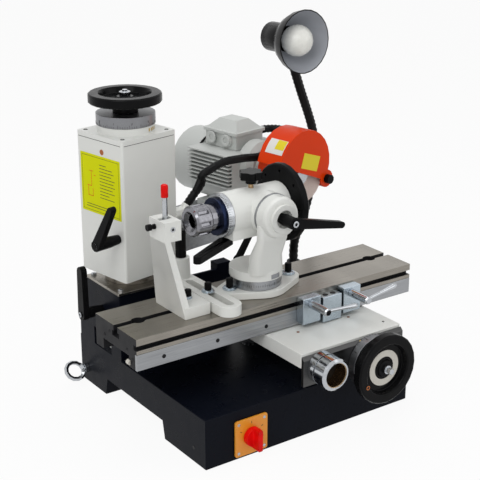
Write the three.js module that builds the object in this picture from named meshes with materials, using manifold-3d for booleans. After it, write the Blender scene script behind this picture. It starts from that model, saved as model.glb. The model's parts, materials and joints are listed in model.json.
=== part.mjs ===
// End mill grinder: a bench machine that sharpens end mills.
// A sliding table carries the work head, a centre and a tooth rest past a motor head,
// which stands on a swivelling pillar. Millimetres, +X along the table, +Y to the back,
// +Z up. The origin lies under the middle of the base's front foot.
import * as THREE from 'three';
import { mergeVertices } from 'three/addons/utils/BufferGeometryUtils.js';
import Module from 'manifold-3d';

const wasm = await Module();
wasm.setup();

// Clearances shared by every piece
const seat = 0.3;
const running = 0.4;
const overrun = 3;

// Counts that set how round a piece is
const fineSides = 24;
const roundSides = 16;
const smallSides = 10;
const cornerSteps = 4;

// Base casting with its pedestal
const base = {
  width: 390, depth: 376, height: 80, wall: 9, front: -56,
  frontFoot: 113, rearFoot: 82, arch: 29, archSlope: 6, port: 60, eyeInset: 21,
  lampReach: 15,
};
const pedestalRise = { top: 112, shoulder: 70, roof: 52, window: 30, socket: 62 };
const pedestal = {
  width: 120, front: 183, topDepth: 102, rearDepth: 135,
  top: base.height + pedestalRise.top, shoulder: base.height + pedestalRise.shoulder,
  roof: base.height + pedestalRise.roof, windowFront: 215, windowRear: 270,
  windowTop: base.height + pedestalRise.window, overhang: 2, plate: 4,
  socketFloor: base.height + pedestalRise.socket, columnInset: 54, columnSet: 56,
};
const controlBox = { inset: 2, length: 84, height: 44 };
const chipGuard = { right: 15, thick: 5, block: 26, blockDepth: 20, blockDrop: 28, blockHeight: 9 };
const switchPlate = { x: -116, z: 34, width: 58, height: 59, thick: 3, corner: 4 };
const switchKnob = { radius: 15, depth: 9, ring: 4, grip: 8, gripRise: 14 };
const eyebolt = {
  y: base.front + base.depth - base.eyeInset, z: 25, ring: 15, wire: 3.8, lean: 45,
  collar: 8, collarDepth: 7,
};

// Cross slide that carries the table
const way = {
  x: 56, width: 56, neck: 46, rise: 24, front: -50, rear: 176,
  nut: 15, nutRise: 9, nutY: 60, nutLength: 20,
};
const saddle = {
  left: -38, right: 157, front: -75, rear: 150, bottom: 98, top: 149, wing: 23, keel: 20,
  railFront: 37, railRear: 84, railRise: 18, corner: 3, shaftWall: 7,
};
const apron = { thick: 6, drop: 4, bevel: 5 };
const crossTravel = 75;

// Traversing shaft, with the pinion that drives the table's rack
const traverse = {
  x: -7, z: 124.5, shaft: 9, collar: 25, collarLength: 38, groove: 2.5, grooveWidth: 3, grooveShare: 0.58,
  bore: 19.5, boreDepth: 26, module: 2.5, teeth: 22, gearY: 89, gearWidth: 14, mesh: 0.6,
};

// Cross screw with its handwheel
const crossScrew = { x: 90, z: 108, radius: 5, nose: 9, nutRadius: 7, nutThick: 6 };
const frontWheel = {
  radius: 55.5, rim: 16, edge: 2, width: 16, web: 6, hub: 18, nose: 13, bore: 5, standoff: 28,
};
const frontDial = { radius: 43, length: 14 };

// Table with its T-slot
const table = {
  left: -265, length: 520, front: 12, width: 118, top: 200, depth: 32, bottom: 151,
  wall: 22, groove: 7.4, grooveTop: 10.6, grooveDepth: 8, slotNeck: 11, slotWide: 20,
  slotNeckDepth: 9, slotDepth: 17, entry: 10, entryInset: 38, plate: 5, plateDrop: 24,
};
const rack = { length: 320, thick: 14 };

// Table stops with their tommy levers
const stop = {
  width: 34, depth: 17, height: 42, drop: 2, tongue: 6, tongueHeight: 6,
  leftX: 20, rightX: 100, leftTurn: -4, rightTurn: 10, hub: 6.5, hubLength: 42, hubDrop: 12, hubShare: 0.44,
  lever: 62, leverRoot: 2.6, leverTip: 4, rootShare: 0.5, bulbShare: 0.9, endShare: 0.6,
};

const middleStop = { x: 59, width: 37, drop: 8, height: 41.5 };

// Work head
const workHead = { x: -15, axis: 133 };
const flange = {
  thick: 11, length: 148, width: 92, endRadius: 22, boltOffset: 57, bolt: 6, shift: 5,
};
const swivelRing = { radius: 40, height: 15 };
const turret = {
  radius: 41.5, height: 14, footLeft: -31, footRight: 28, footFront: -40, footRear: -12,
  kneeLeft: -33, kneeRight: 21, kneeFront: -46, kneeRear: -22, kneeDrop: 65,
  neckLeft: -32, neckRight: 20, neckFront: -57, neckRear: -41.2, neckDrop: 35,
  barrel: 32, barrelFront: -67, barrelRear: -40.4, nose: 22, noseLength: 5, dish: 14, dishDepth: 6, round: 7,
  neckShare: 0.33, roundShare: 0.3, footRoundShare: 0.45,
};
const spindleHead = {
  radius: 34, left: -61, right: 43, bossRadius: 33, bore: 20, keel: 34.6, keelShare: 0.8,
};
const spindle = { radius: 19.4, bore: 10, flange: 29, flangeThick: 6, tail: 16 };
const dial = { radius: 33, length: 11 };
const collet = {
  radius: 23.5, shank: 20.5, length: 42, head: 26, cone: 15.5, mouth: 10,
  slots: 8, slot: 5, slotDepth: 3, lip: 6,
};
const indexPlate = { radius: 61, thick: 12, hole: 2.8, holes: 8, ringShare: 0.82 };
const indexKnob = { x: -10, radius: 18.5, lobes: 6, height: 12, hub: 8.5, hubHeight: 7, pin: 4, lift: 6 };
const tiltLever = { hub: 9.5, length: 36, arm: 92, root: 8, tip: 5, thick: 9, angle: -12 };
const lockLever = {
  x: -48, y: 9, hub: 9, length: 17, arm: 92, root: 9.5, tip: 6.5, thick: 11, angle: 152,
};
const turretLever = { hub: 7, length: 10, arm: 46, root: 5, tip: 4, thick: 7, angle: 57.6 };
const leverForm = { neckShare: 0.8, shoulderShare: 0.4, screwShare: 0.5, capShare: 0.2 };

// Centre support at the table's left
const tail = {
  x: -171, baseWidth: 45, baseDepth: 82, baseThick: 17, blockWidth: 28, blockDepth: 42,
  blockTop: 147, blockHeight: 30, blockX: -191, legTop: 10, legFoot: 9, quill: 7, quillLength: 34,
  point: 2, pointLength: 9, rod: 4.1, rodRise: 51, cap: 5.2, capLength: 19,
  quillShare: 0.45, rodShare: 0.5, capShare: 0.6, sideHole: 4, holeDrop: 11.5, slotWall: 2.4,
  screw: 4, screwHead: 5, screwLength: 14, screwY: 4.6, screwDrop: 10.7, waistShare: 0.7,
};

// Tooth rest at the back of the centre support
const rest = {
  x: -104, width: 38, front: -3, rear: 165, thick: 16, slot: 13, slotFront: 14, slotRear: 122,
  bossTop: 13.5, bossFoot: 15, bossHeight: 49, bore: 6, post: 8.6, postRise: 45, stem: 5.6,
};

// Pillar, head and motor
const column = {
  x: pedestal.columnInset - base.width / 2, y: pedestal.front + pedestal.columnSet, swivel: 10,
};
const pillar = { radius: 38, foot: 41, footHeight: 7, top: 415, bore: 7 };
const housing = {
  side: 108, bottom: 212, top: 438, corner: 4, bore: 38.6, cap: 8, boss: 45, bossHeight: 11,
};
const motorArm = { front: -12, rear: 66, right: 326, height: 50, nose: 18 };
const elbow = { x: 72, y: -46, z: 298, radius: 8, boss: 10, reach: 14 };
const topDial = { radius: 46, height: 17 };
const topWheel = {
  radius: 57, rim: 17, edge: 2, width: 15, web: 6, hub: 20, nose: 13, bore: 6.4, standoff: 30,
};
const liftScrew = { radius: 6, length: 130, nut: 9, nutThick: 7, endShare: 0.7 };
const housingLever = {
  y: -39, z: 282, hub: 9, length: 46, arm: 75, root: 8, tip: 5, thick: 10, angle: -30,
};
const pillarLever = {
  z: 151, hub: 9, length: 38, arm: 72, root: 10, tip: 8, thick: 10, angle: 0,
};
const motor = {
  x: 262, z: 337, half: 69, core: 60, rise: 21, drop: 62, corner: 14, front: -28, rear: 72,
  shieldFront: -49, shield: 40, shieldThick: 9, cowlDrop: 19, fin: 2.4, fins: 9, finPitch: 6.8, finDrop: 5.5,
  foot: 24, footThick: 10, cowlEnd: 134, cowl: 57, cowlWall: 2, rim: 53, nose: 26,
  ventSlots: 10, ventSlot: 6, ventShares: [0.25, 0.72],
};
const terminal = {
  front: -14, depth: 82, width: 72, seat: 360, height: 30, rim: 5, lid: 16,
  taper: 16, inset: 4, gland: 11, glandLength: 5, outlet: 8.5, outletLength: 7,
  outletShares: [0.3, 0.6], glandShares: [0.28, 0.72],
};
const wheel = {
  radius: 50, thick: 20, bore: 10, dish: 33, dishDepth: 8, front: -124, rimShare: 0.4,
  spindle: 9.6, washer: 20, washerThick: 3, nut: 11, nutThick: 4,
};
const guard = {
  radius: 60, drop: 13, turn: -22, rise: 16, front: -138, rear: -87, wall: 2.5,
  collar: 30, collarWall: 6, ear: 15, earX: 62, earZ: -16,
};
const guardKnob = { radius: 8, length: 9 };

// Ribbed hoses: the lead's conduit and the lamp's gooseneck
const conduit = { radius: 7.2, bore: 5.2, groove: 0.9, pitch: 6.6 };
const conduitRoute = [
  [20, 0, 0], [36, -14, 0], [35, -44, 0], [12, -74, 0], [-43, -85, -2],
  [-73, -81, -14], [-113, -78, -11], [-152, -74, -10], [-178, -70, -17], [-196, -67, -26],
];
const conduitFall = [15.4, -4, 19.5];
const gooseneck = { radius: 8.4, bore: 5, groove: 1, pitch: 9 };
const goosePoints = [
  [2, 37], [27, 100], [38, 141], [46, 184], [38, 235],
];
const ribSides = 8;
const boreEvery = 5;

// Lamp
const lamp = {
  x: base.width / 2 + base.lampReach, y: 265, plate: 6, plateHalf: 22, plateBottom: 28,
  shelf: 76, shelfThick: 7,
  post: 8, collar: 12, collarHeight: 12, neck: 138,
};
const shade = {
  rim: 51.5, wall: 1.8, depth: 45, throat: 23, socket: 24, socketLength: 42, nub: 3, nubLength: 4,
  aside: -57, ahead: -93, height: 552, aimShares: [0.045, -0.999, 0.025],
  ball: 10, ballSide: 18, ballDrop: 26, ballBack: 60, waistShare: 0.78, waistDepthShare: 0.66,
  flareShare: 0.94, flareDepthShare: 0.3, socketShare: 0.8,
};
const bulb = { radius: 26, neck: 13, reach: 8, cap: 8, sinkShare: 0.4, startAngle: -51.6 };

// Finishes
function finish(color, roughness, metalness) {
  return new THREE.MeshStandardMaterial({ color, roughness, metalness });
}
const blackPaint = finish(0x1b1d22, 0.3, 0.1);
const whitePaint = finish(0xe9e9e4, 0.45, 0);
const lightGrey = finish(0xc9cbc8, 0.5, 0);
const groundSteel = finish(0x9a958c, 0.32, 0.9);
const satinSteel = finish(0xb4b6b8, 0.4, 0.9);
const chrome = finish(0xd8dadc, 0.12, 1);
const blackPlastic = finish(0x141416, 0.5, 0);
const blueSteel = finish(0x222a3d, 0.3, 0.8);
const rubber = finish(0x161617, 0.7, 0);
const orangePaint = finish(0xe04a1c, 0.35, 0);
const yellowPlate = finish(0xf0a81c, 0.5, 0);
const redPlastic = finish(0xd4281c, 0.35, 0);
const abrasive = finish(0xe6d2cc, 0.9, 0);
const frosted = finish(0xf2f2f0, 0.3, 0);

// Solids and meshes

function solidOf(geometry) {
  const bare = geometry.index ? geometry.clone() : mergeVertices(geometry);
  for (const name of Object.keys(bare.attributes)) {
    if (name !== 'position') bare.deleteAttribute(name);
  }
  const merged = mergeVertices(bare);
  const index = merged.index.array;
  const kept = [];
  for (let i = 0; i < index.length; i += 3) {
    const [a, b, c] = [index[i], index[i + 1], index[i + 2]];
    if (a !== b && b !== c && c !== a) kept.push(a, b, c);
  }
  const vertProperties = new Float32Array(merged.attributes.position.array);
  return new wasm.Manifold(
    new wasm.Mesh({ numProp: 3, vertProperties, triVerts: new Uint32Array(kept) }));
}

function meshOf(solid) {
  const mesh = solid.getMesh();
  const geometry = new THREE.BufferGeometry();
  geometry.setAttribute('position', new THREE.BufferAttribute(mesh.vertProperties, 3));
  geometry.setIndex(new THREE.BufferAttribute(mesh.triVerts, 1));
  geometry.computeVertexNormals();
  return geometry;
}

function fuse(first, ...others) {
  return others.reduce((whole, piece) => whole.add(piece), first);
}

function cut(first, ...tools) {
  return tools.reduce((whole, tool) => whole.subtract(tool), first);
}

function named(name, solid, material) {
  const mesh = new THREE.Mesh(meshOf(solid), material);
  mesh.name = name;
  return mesh;
}

// A box between two corners
function block([x0, x1], [y0, y1], [z0, z1]) {
  const geometry = new THREE.BoxGeometry(x1 - x0, y1 - y0, z1 - z0);
  geometry.translate((x0 + x1) / 2, (y0 + y1) / 2, (z0 + z1) / 2);
  return solidOf(geometry);
}

// Turns a geometry made along its own axis so that the axis lies along x, y or z
function aim(geometry, axis) {
  if (axis === 'x') geometry.rotateZ(-Math.PI / 2);
  if (axis === 'z') geometry.rotateX(Math.PI / 2);
  return geometry;
}

// A turned piece: profile points are [radius, place along the axis]
function turned(axis, place, profile, sides = roundSides) {
  const points = profile.map(([r, h]) => new THREE.Vector2(r, h));
  const geometry = aim(new THREE.LatheGeometry(points, sides), axis);
  geometry.translate(...place);
  return solidOf(geometry);
}

function rod(axis, place, radius, from, to, sides = roundSides) {
  return turned(axis, place, [[0, from], [radius, from], [radius, to], [0, to]], sides);
}

function tube(axis, place, outer, inner, from, to, sides = roundSides) {
  const profile = [[inner, from], [outer, from], [outer, to], [inner, to], [inner, from]];
  return turned(axis, place, profile, sides);
}

// A plate of the given outline: x and y for axis z, x and z for axis y, y and z for axis x
function prism(axis, outline, from, to) {
  const shape = new THREE.Shape(outline.map(([u, v]) => new THREE.Vector2(u, v)));
  const geometry = new THREE.ExtrudeGeometry(shape, { depth: to - from, bevelEnabled: false });
  if (axis === 'z') geometry.translate(0, 0, from);
  if (axis === 'y') geometry.rotateX(Math.PI / 2).translate(0, to, 0);
  if (axis === 'x') {
    const turn = new THREE.Matrix4().makeBasis(
      new THREE.Vector3(0, 1, 0), new THREE.Vector3(0, 0, 1), new THREE.Vector3(1, 0, 0));
    geometry.applyMatrix4(turn).translate(from, 0, 0);
  }
  return solidOf(geometry);
}

// A round bar between two points
function bar(from, to, radius, sides = smallSides) {
  const start = new THREE.Vector3(...from);
  const along = new THREE.Vector3(...to).sub(start);
  const geometry = new THREE.CylinderGeometry(radius, radius, along.length(), sides);
  geometry.applyQuaternion(new THREE.Quaternion().setFromUnitVectors(
    new THREE.Vector3(0, 1, 0), along.clone().normalize()));
  const middle = start.addScaledVector(along, 1 / 2);
  geometry.translate(...middle.toArray());
  return solidOf(geometry);
}

// Points of an arc about a centre, in degrees
function arc([u, v], radius, from, to, steps) {
  return Array.from({ length: steps + 1 }, (_, i) => {
    const angle = THREE.MathUtils.degToRad(from + ((to - from) * i) / steps);
    return [u + radius * Math.cos(angle), v + radius * Math.sin(angle)];
  });
}

function roundedOutline([u0, u1], [v0, v1], radius) {
  return [
    ...arc([u1 - radius, v0 + radius], radius, -90, 0, cornerSteps),
    ...arc([u1 - radius, v1 - radius], radius, 0, 90, cornerSteps),
    ...arc([u0 + radius, v1 - radius], radius, 90, 180, cornerSteps),
    ...arc([u0 + radius, v0 + radius], radius, 180, 270, cornerSteps),
  ];
}

// A bar whose ends are round, of two radii, from the origin out along the first axis
function taperOutline(root, tip, length) {
  const lean = THREE.MathUtils.radToDeg(Math.acos((root - tip) / length));
  return [
    ...arc([0, 0], root, lean, 360 - lean, smallSides),
    ...arc([length, 0], tip, -lean, lean, smallSides / 2),
  ];
}

// A clamp lever along +Z from its seat, with its arm along +X
function clampLever(name, size) {
  const { neckShare, shoulderShare, screwShare, capShare } = leverForm;
  const hub = turned('z', [0, 0, 0], [
    [0, 0], [size.hub * neckShare, 0], [size.hub, size.length * shoulderShare],
    [size.hub, size.length], [size.hub * screwShare, size.length],
    [size.hub * screwShare, size.length + size.hub * capShare], [0, size.length + size.hub * capShare],
  ], smallSides);
  const arm = prism('z', taperOutline(size.root, size.tip, size.arm),
    size.length - size.thick, size.length);
  return named(name, fuse(hub, arm), blackPlastic);
}

// Places a lever whose hub points along the given direction, its arm turned by its angle
function seatLever(lever, place, outward, angle) {
  lever.position.set(...place);
  const side = { left: [0, -Math.PI / 2, 0], front: [Math.PI / 2, 0, 0] }[outward];
  lever.rotation.set(...side);
  lever.rotateZ(THREE.MathUtils.degToRad(angle));
  return lever;
}

// A dished handwheel along its axis: the hub's foot is at 0 and the rim is at the far end
function handwheel(size) {
  const { radius, rim, edge, width, web, hub, bore, standoff, nose } = size;
  const face = standoff - width;
  return turned('z', [0, 0, 0], [
    [bore, 0], [hub, 0], [hub, face], [radius - edge, face], [radius, face + edge],
    [radius, standoff - edge], [radius - edge, standoff], [radius - rim + edge, standoff],
    [radius - rim, standoff - edge], [radius - rim - edge, face + web], [nose + edge, face + web],
    [nose, face + web + edge], [nose, standoff - web], [bore, standoff - web], [bore, 0],
  ], fineSides);
}

// Base

function baseCasting() {
  const left = -base.width / 2;
  const right = base.width / 2;
  const rear = base.front + base.depth;
  const archFront = base.front + base.frontFoot;
  const archRear = rear - base.rearFoot;
  const shell = (inset, low, high) => [
    [base.front + inset, low], [archFront - inset, low],
    [archFront + base.archSlope - inset, base.arch + low],
    [archRear - base.archSlope + inset, base.arch + low], [archRear + inset, low],
    [rear - inset, low], [rear - inset, high], [base.front + inset, high],
  ];
  const outer = prism('x', shell(0, 0, base.height), left, right);
  const inner = prism('x', shell(base.wall, base.wall, base.height - base.wall),
    left + base.wall, right - base.wall);
  const archMiddle = (archFront + archRear) / 2;
  const port = block([-base.port / 2, base.port / 2],
    [archMiddle - base.port / 2, archMiddle + base.port / 2],
    [base.arch - overrun, base.arch + base.wall + overrun]);
  const towerRear = pedestal.front + pedestal.rearDepth;
  const tower = prism('x', [
    [pedestal.front, base.height - base.wall / 2], [towerRear, base.height - base.wall / 2],
    [towerRear, base.height], [towerRear - pedestal.overhang, pedestal.shoulder],
    [pedestal.front + pedestal.topDepth, pedestal.top], [pedestal.front, pedestal.top],
  ], left, left + pedestal.width);
  const chamber = block([left + base.wall, left + pedestal.width - base.wall],
    [pedestal.front + base.wall, towerRear - base.wall], [base.height, pedestal.roof]);
  const window = block([left - overrun, left + base.wall + overrun],
    [pedestal.windowFront, pedestal.windowRear], [base.height, pedestal.windowTop]);
  const socket = rod('z', [column.x, column.y, 0], pillar.radius + running,
    pedestal.socketFloor, pedestal.top + overrun, fineSides);
  return named('base_casting',
    cut(fuse(cut(outer, inner, port), tower), chamber, window, socket), blackPaint);
}

function pedestalPlate() {
  const left = -base.width / 2 - pedestal.overhang;
  const low = pedestal.top + seat;
  const outline = roundedOutline([left, left + pedestal.width + 2 * pedestal.overhang],
    [pedestal.front - pedestal.overhang, pedestal.front + pedestal.topDepth],
    pedestal.overhang);
  const plate = prism('z', outline, low, low + pedestal.plate);
  const hole = rod('z', [column.x, column.y, 0], pillar.radius + running,
    low - overrun, low + pedestal.plate + overrun, fineSides);
  return named('pedestal_plate', cut(plate, hole), satinSteel);
}

function controlBoxPart() {
  const left = -base.width / 2 + base.wall + controlBox.inset;
  const low = base.height + seat;
  const box = block([left, left + controlBox.length],
    [pedestal.windowFront - controlBox.inset, pedestal.windowRear + controlBox.inset],
    [low, low + controlBox.height]);
  return named('control_box', box, lightGrey);
}

// A thin wall that keeps grit off the slide, with a small block at its end
function chipGuardPart() {
  const left = pedestal.width - base.width / 2 + pedestal.overhang + seat;
  const top = pedestal.top + pedestal.plate;
  const wall = block([left, chipGuard.right], [pedestal.front, pedestal.front + chipGuard.thick],
    [base.height + seat, top]);
  const end = block([chipGuard.right - chipGuard.block, chipGuard.right],
    [pedestal.front, pedestal.front + chipGuard.blockDepth],
    [top - chipGuard.blockDrop, top + chipGuard.blockHeight]);
  return named('chip_guard', fuse(wall, end), blackPaint);
}

function switchPlatePart() {
  const { x, z, width, height, thick, corner } = switchPlate;
  const outline = roundedOutline([x - width / 2, x + width / 2], [z - height / 2, z + height / 2],
    corner);
  const rear = base.front - seat;
  return named('switch_plate', prism('y', outline, rear - thick, rear), yellowPlate);
}

function switchKnobPart() {
  const { radius, depth, ring, grip, gripRise } = switchKnob;
  const foot = base.front - 2 * seat - switchPlate.thick;
  const place = [switchPlate.x, 0, switchPlate.z];
  const disc = rod('y', place, radius, foot - depth, foot);
  const bar = prism('y', roundedOutline(
    [switchPlate.x - grip / 2, switchPlate.x + grip / 2],
    [switchPlate.z - radius - ring / 2, switchPlate.z + radius + ring / 2], ring / 2),
  foot - depth - gripRise, foot - depth / 2);
  return named('switch_knob', fuse(disc, bar), redPlastic);
}

function eyeboltPart() {
  const left = -base.width / 2 - seat;
  const place = [0, eyebolt.y, eyebolt.z];
  const collar = rod('x', place, eyebolt.collar, left - eyebolt.collarDepth, left, smallSides);
  const centre = left - eyebolt.collarDepth - eyebolt.ring - eyebolt.wire / 2;
  const ring = new THREE.TorusGeometry(eyebolt.ring, eyebolt.wire, smallSides / 2, fineSides / 2);
  ring.rotateX(THREE.MathUtils.degToRad(eyebolt.lean)).translate(centre, eyebolt.y, eyebolt.z);
  return named('lifting_eyebolt', fuse(collar, solidOf(ring)), chrome);
}

// Cross slide

function crossWay() {
  const half = way.width / 2;
  const neck = way.neck / 2;
  const foot = base.height + seat;
  const outline = [
    [way.x - neck, foot], [way.x + neck, foot], [way.x + half, foot + way.rise],
    [way.x - half, foot + way.rise],
  ];
  const slide = prism('y', outline, way.front, way.rear);
  const nut = block([crossScrew.x - way.nut / 2 - way.nut / 2, crossScrew.x + way.nut / 2],
    [way.nutY, way.nutY + way.nutLength], [foot, crossScrew.z + way.nutRise]);
  const bore = rod('y', [crossScrew.x, 0, crossScrew.z], crossScrew.radius + running,
    way.nutY - overrun, way.nutY + way.nutLength + overrun, smallSides);
  return named('cross_way', cut(fuse(slide, nut), bore), groundSteel);
}

function saddleCasting() {
  const { left, right, front, rear, bottom, top } = saddle;
  const plate = prism('z', roundedOutline([left, right], [front, rear], saddle.corner),
    top - saddle.wing, top);
  const keel = block([saddle.keel, right - saddle.corner], [front, rear], [bottom, top - overrun]);
  const shaftBoss = rod('y', [traverse.x, 0, traverse.z], traverse.shaft + saddle.shaftWall,
    front, traverse.gearY, roundSides);
  const rail = block([left, right], [saddle.railFront, saddle.railRear],
    [top - overrun, top + saddle.railRise]);
  const half = way.width / 2 + running;
  const neck = way.neck / 2 + running;
  const wayFoot = base.height + seat;
  const slope = (way.width - way.neck) / 2 / way.rise;
  const low = bottom - overrun;
  const groove = prism('y', [
    [way.x - neck - slope * (low - wayFoot), low], [way.x + neck + slope * (low - wayFoot), low],
    [way.x + half, wayFoot + way.rise + running], [way.x - half, wayFoot + way.rise + running],
  ], front - overrun, rear + overrun);
  const nutRoom = block([crossScrew.x - way.nut - running, crossScrew.x + way.nut / 2 + running],
    [way.nutY - running, way.nutY + way.nutLength + crossTravel + running],
    [low, crossScrew.z + way.nutRise + running]);
  const screwBore = rod('y', [crossScrew.x, 0, crossScrew.z], crossScrew.radius + running,
    front - overrun, rear + overrun, smallSides);
  const shaftBore = rod('y', [traverse.x, 0, traverse.z], traverse.shaft + running,
    front - overrun, traverse.gearY + overrun, roundSides);
  const gearRoom = rod('y', [traverse.x, 0, traverse.z],
    gearRadius() + traverse.module + 2 * running,
    traverse.gearY - running, traverse.gearY + traverse.gearWidth + running);
  return named('saddle_casting',
    cut(fuse(plate, keel, shaftBoss, rail), groove, nutRoom, screwBore, shaftBore, gearRoom),
    whitePaint);
}

function apronPlate() {
  const rear = saddle.front - seat;
  const top = saddle.top - apron.drop;
  const outline = [
    [rear, saddle.bottom], [rear, top], [rear - apron.thick + apron.bevel, top],
    [rear - apron.thick, top - apron.bevel], [rear - apron.thick, saddle.bottom],
  ];
  const plate = prism('x', outline, saddle.left, saddle.right);
  const holes = [[crossScrew, crossScrew.radius], [traverse, traverse.shaft]].map(([at, radius]) =>
    rod('y', [at.x, 0, at.z], radius + running, rear - apron.thick - overrun, rear + overrun));
  return named('apron_plate', cut(plate, ...holes), satinSteel);
}

function frontFace() {
  return saddle.front - seat - apron.thick;
}

// Cross screw and handwheel

function frontDialPart() {
  const from = frontFace() - seat - frontDial.length;
  const ring = tube('y', [crossScrew.x, 0, crossScrew.z], frontDial.radius,
    crossScrew.radius + running, from, from + frontDial.length, fineSides);
  return named('front_dial', ring, satinSteel);
}

function frontHandwheel() {
  const foot = frontFace() - 2 * seat - frontDial.length;
  const mesh = named('front_handwheel', handwheel(frontWheel), blackPlastic);
  mesh.position.set(crossScrew.x, foot, crossScrew.z);
  mesh.rotation.x = Math.PI / 2;
  return mesh;
}

function crossScrewPart() {
  const wheelFoot = frontFace() - 2 * seat - frontDial.length;
  const hubFace = wheelFoot - frontWheel.standoff + frontWheel.web;
  const shaft = crossScrew.radius - seat;
  const profile = [
    [0, hubFace - crossScrew.nutThick - crossScrew.nose],
    [shaft, hubFace - crossScrew.nutThick - crossScrew.nose],
    [shaft, hubFace - crossScrew.nutThick], [crossScrew.nutRadius, hubFace - crossScrew.nutThick],
    [crossScrew.nutRadius, hubFace - seat], [shaft, hubFace - seat],
    [shaft, saddle.rear], [0, saddle.rear],
  ];
  return named('cross_screw', turned('y', [crossScrew.x, 0, crossScrew.z], profile, smallSides), chrome);
}

// Traversing shaft and pinion

function gearRadius() {
  return (traverse.module * traverse.teeth) / 2;
}

// One tooth of a gear and one space of a rack: shares of a pitch along, of a module out
const toothShares = [[-0.28, -1], [-0.1, 1], [0.1, 1], [0.28, -1]];
const spaceShares = [[-0.42, -1], [-0.18, 1], [0.18, 1], [0.42, -1]];

function traversePinion() {
  const radius = gearRadius();
  const pitch = 360 / traverse.teeth;
  const outline = [];
  for (let tooth = 0; tooth < traverse.teeth; tooth += 1) {
    for (const [along, out] of toothShares) {
      const angle = THREE.MathUtils.degToRad(90 + (tooth + along) * pitch);
      const reach = radius + out * traverse.module;
      outline.push([traverse.x + reach * Math.cos(angle), traverse.z + reach * Math.sin(angle)]);
    }
  }
  const gear = prism('y', outline, traverse.gearY, traverse.gearY + traverse.gearWidth);
  const front = frontFace() - traverse.collarLength + traverse.boreDepth;
  const shaft = rod('y', [traverse.x, 0, traverse.z], traverse.shaft, front,
    traverse.gearY + overrun);
  return named('traverse_pinion', fuse(gear, shaft), satinSteel);
}

function traverseCollar() {
  const { collar, collarLength, groove, grooveWidth, bore, boreDepth, shaft } = traverse;
  const rear = frontFace() - seat;
  const front = rear - collarLength;
  const middle = front + collarLength * traverse.grooveShare;
  const profile = [
    [bore, front], [collar - grooveWidth, front], [collar, front + grooveWidth],
    [collar, middle], [collar - groove, middle], [collar - groove, middle + grooveWidth],
    [collar, middle + grooveWidth], [collar, rear], [shaft + seat, rear],
    [shaft + seat, front + boreDepth], [bore, front + boreDepth], [bore, front],
  ];
  return named('traverse_collar',
    turned('y', [traverse.x, 0, traverse.z], profile, fineSides), chrome);
}

// Table

function tableSlotY() {
  return table.front + table.width / 2;
}

function tableSlab() {
  const { left, length, front, width, top, depth, bottom, wall } = table;
  const right = left + length;
  const rear = front + width;
  const mid = tableSlotY();
  const body = block([left, right], [front, rear], [bottom, top]);
  const channel = block([left - overrun, right + overrun], [front + wall, rear - wall],
    [bottom - overrun, top - depth]);
  const groove = block([left - overrun, right + overrun],
    [front - overrun, front + table.grooveDepth],
    [top - table.grooveTop - table.groove, top - table.grooveTop]);
  const plateRoom = block([left - overrun, right + overrun], [front - overrun, front + table.plate],
    [bottom - overrun, top - table.plateDrop]);
  const neck = block([left - overrun, right + overrun],
    [mid - table.slotNeck / 2, mid + table.slotNeck / 2],
    [top - table.slotDepth, top + overrun]);
  const wide = block([left - overrun, right + overrun],
    [mid - table.slotWide / 2, mid + table.slotWide / 2],
    [top - table.slotDepth, top - table.slotNeckDepth]);
  const entries = [left + table.entryInset, right - table.entryInset].map((x) =>
    rod('z', [x, mid, 0], table.entry + running, top - table.slotDepth, top + overrun));
  return named('table_slab',
    cut(body, channel, groove, plateRoom, neck, wide, ...entries), groundSteel);
}

function tableFrontPlate() {
  const { left, length, front, top, bottom, plate, plateDrop } = table;
  const rear = front + plate - seat;
  return named('table_front_plate', block([left, left + length], [front - seat, rear],
    [bottom, top - plateDrop - seat]), satinSteel);
}

// A rack under the slab whose teeth mesh with the pinion at rest
function tableRack() {
  const pitch = Math.PI * traverse.module;
  const line = traverse.z + gearRadius() + traverse.mesh;
  const count = Math.floor(rack.length / pitch / 2);
  const top = table.top - table.depth - seat;
  const outline = [];
  for (let gap = -count; gap <= count; gap += 1) {
    const middle = traverse.x + gap * pitch;
    for (const [along, out] of spaceShares) {
      outline.push([middle + along * pitch, line + out * traverse.module]);
    }
  }
  const first = outline[0][0] - pitch;
  const last = outline[outline.length - 1][0] + pitch;
  const low = line - traverse.module;
  const full = [[first, low], ...outline, [last, low], [last, top], [first, top]];
  const y = traverse.gearY + (traverse.gearWidth - rack.thick) / 2;
  return named('table_rack', prism('y', full, y, y + rack.thick), satinSteel);
}

function stopBlock(name, x, { width, drop, height } = stop) {
  const high = table.top - drop;
  const rear = table.front - seat;
  const body = block([x, x + width], [rear - stop.depth, rear], [high - height, high]);
  const grooveMiddle = table.top - table.grooveTop - table.groove / 2;
  const tongue = block([x, x + width], [rear - overrun, rear + stop.tongue],
    [grooveMiddle - stop.tongueHeight / 2, grooveMiddle + stop.tongueHeight / 2]);
  return named(name, fuse(body, tongue), satinSteel);
}

// A chrome hub on the stop, with a tapered tommy bar near its end
function stopLever(name, x, angle) {
  const hubX = x + stop.width * stop.hubShare;
  const { lever, leverRoot, leverTip, rootShare, bulbShare, endShare } = stop;
  const hub = turned('z', [0, 0, 0], [
    [0, 0], [stop.hub, 0], [stop.hub, stop.hubLength - stop.leverRoot],
    [stop.hub - stop.leverRoot / 2, stop.hubLength], [0, stop.hubLength],
  ], smallSides);
  const bar = turned('x', [0, 0, stop.hubLength - stop.hub], [
    [0, 0], [leverRoot, 0], [leverRoot, lever * rootShare], [leverTip, lever * bulbShare],
    [leverTip, lever - leverTip], [leverTip * endShare, lever], [0, lever],
  ], smallSides);
  const mesh = named(name, fuse(hub, bar), chrome);
  const face = table.front - 2 * seat - stop.depth;
  return seatLever(mesh, [hubX, face, table.top - stop.hubDrop], 'front', angle);
}

// Work head

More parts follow.
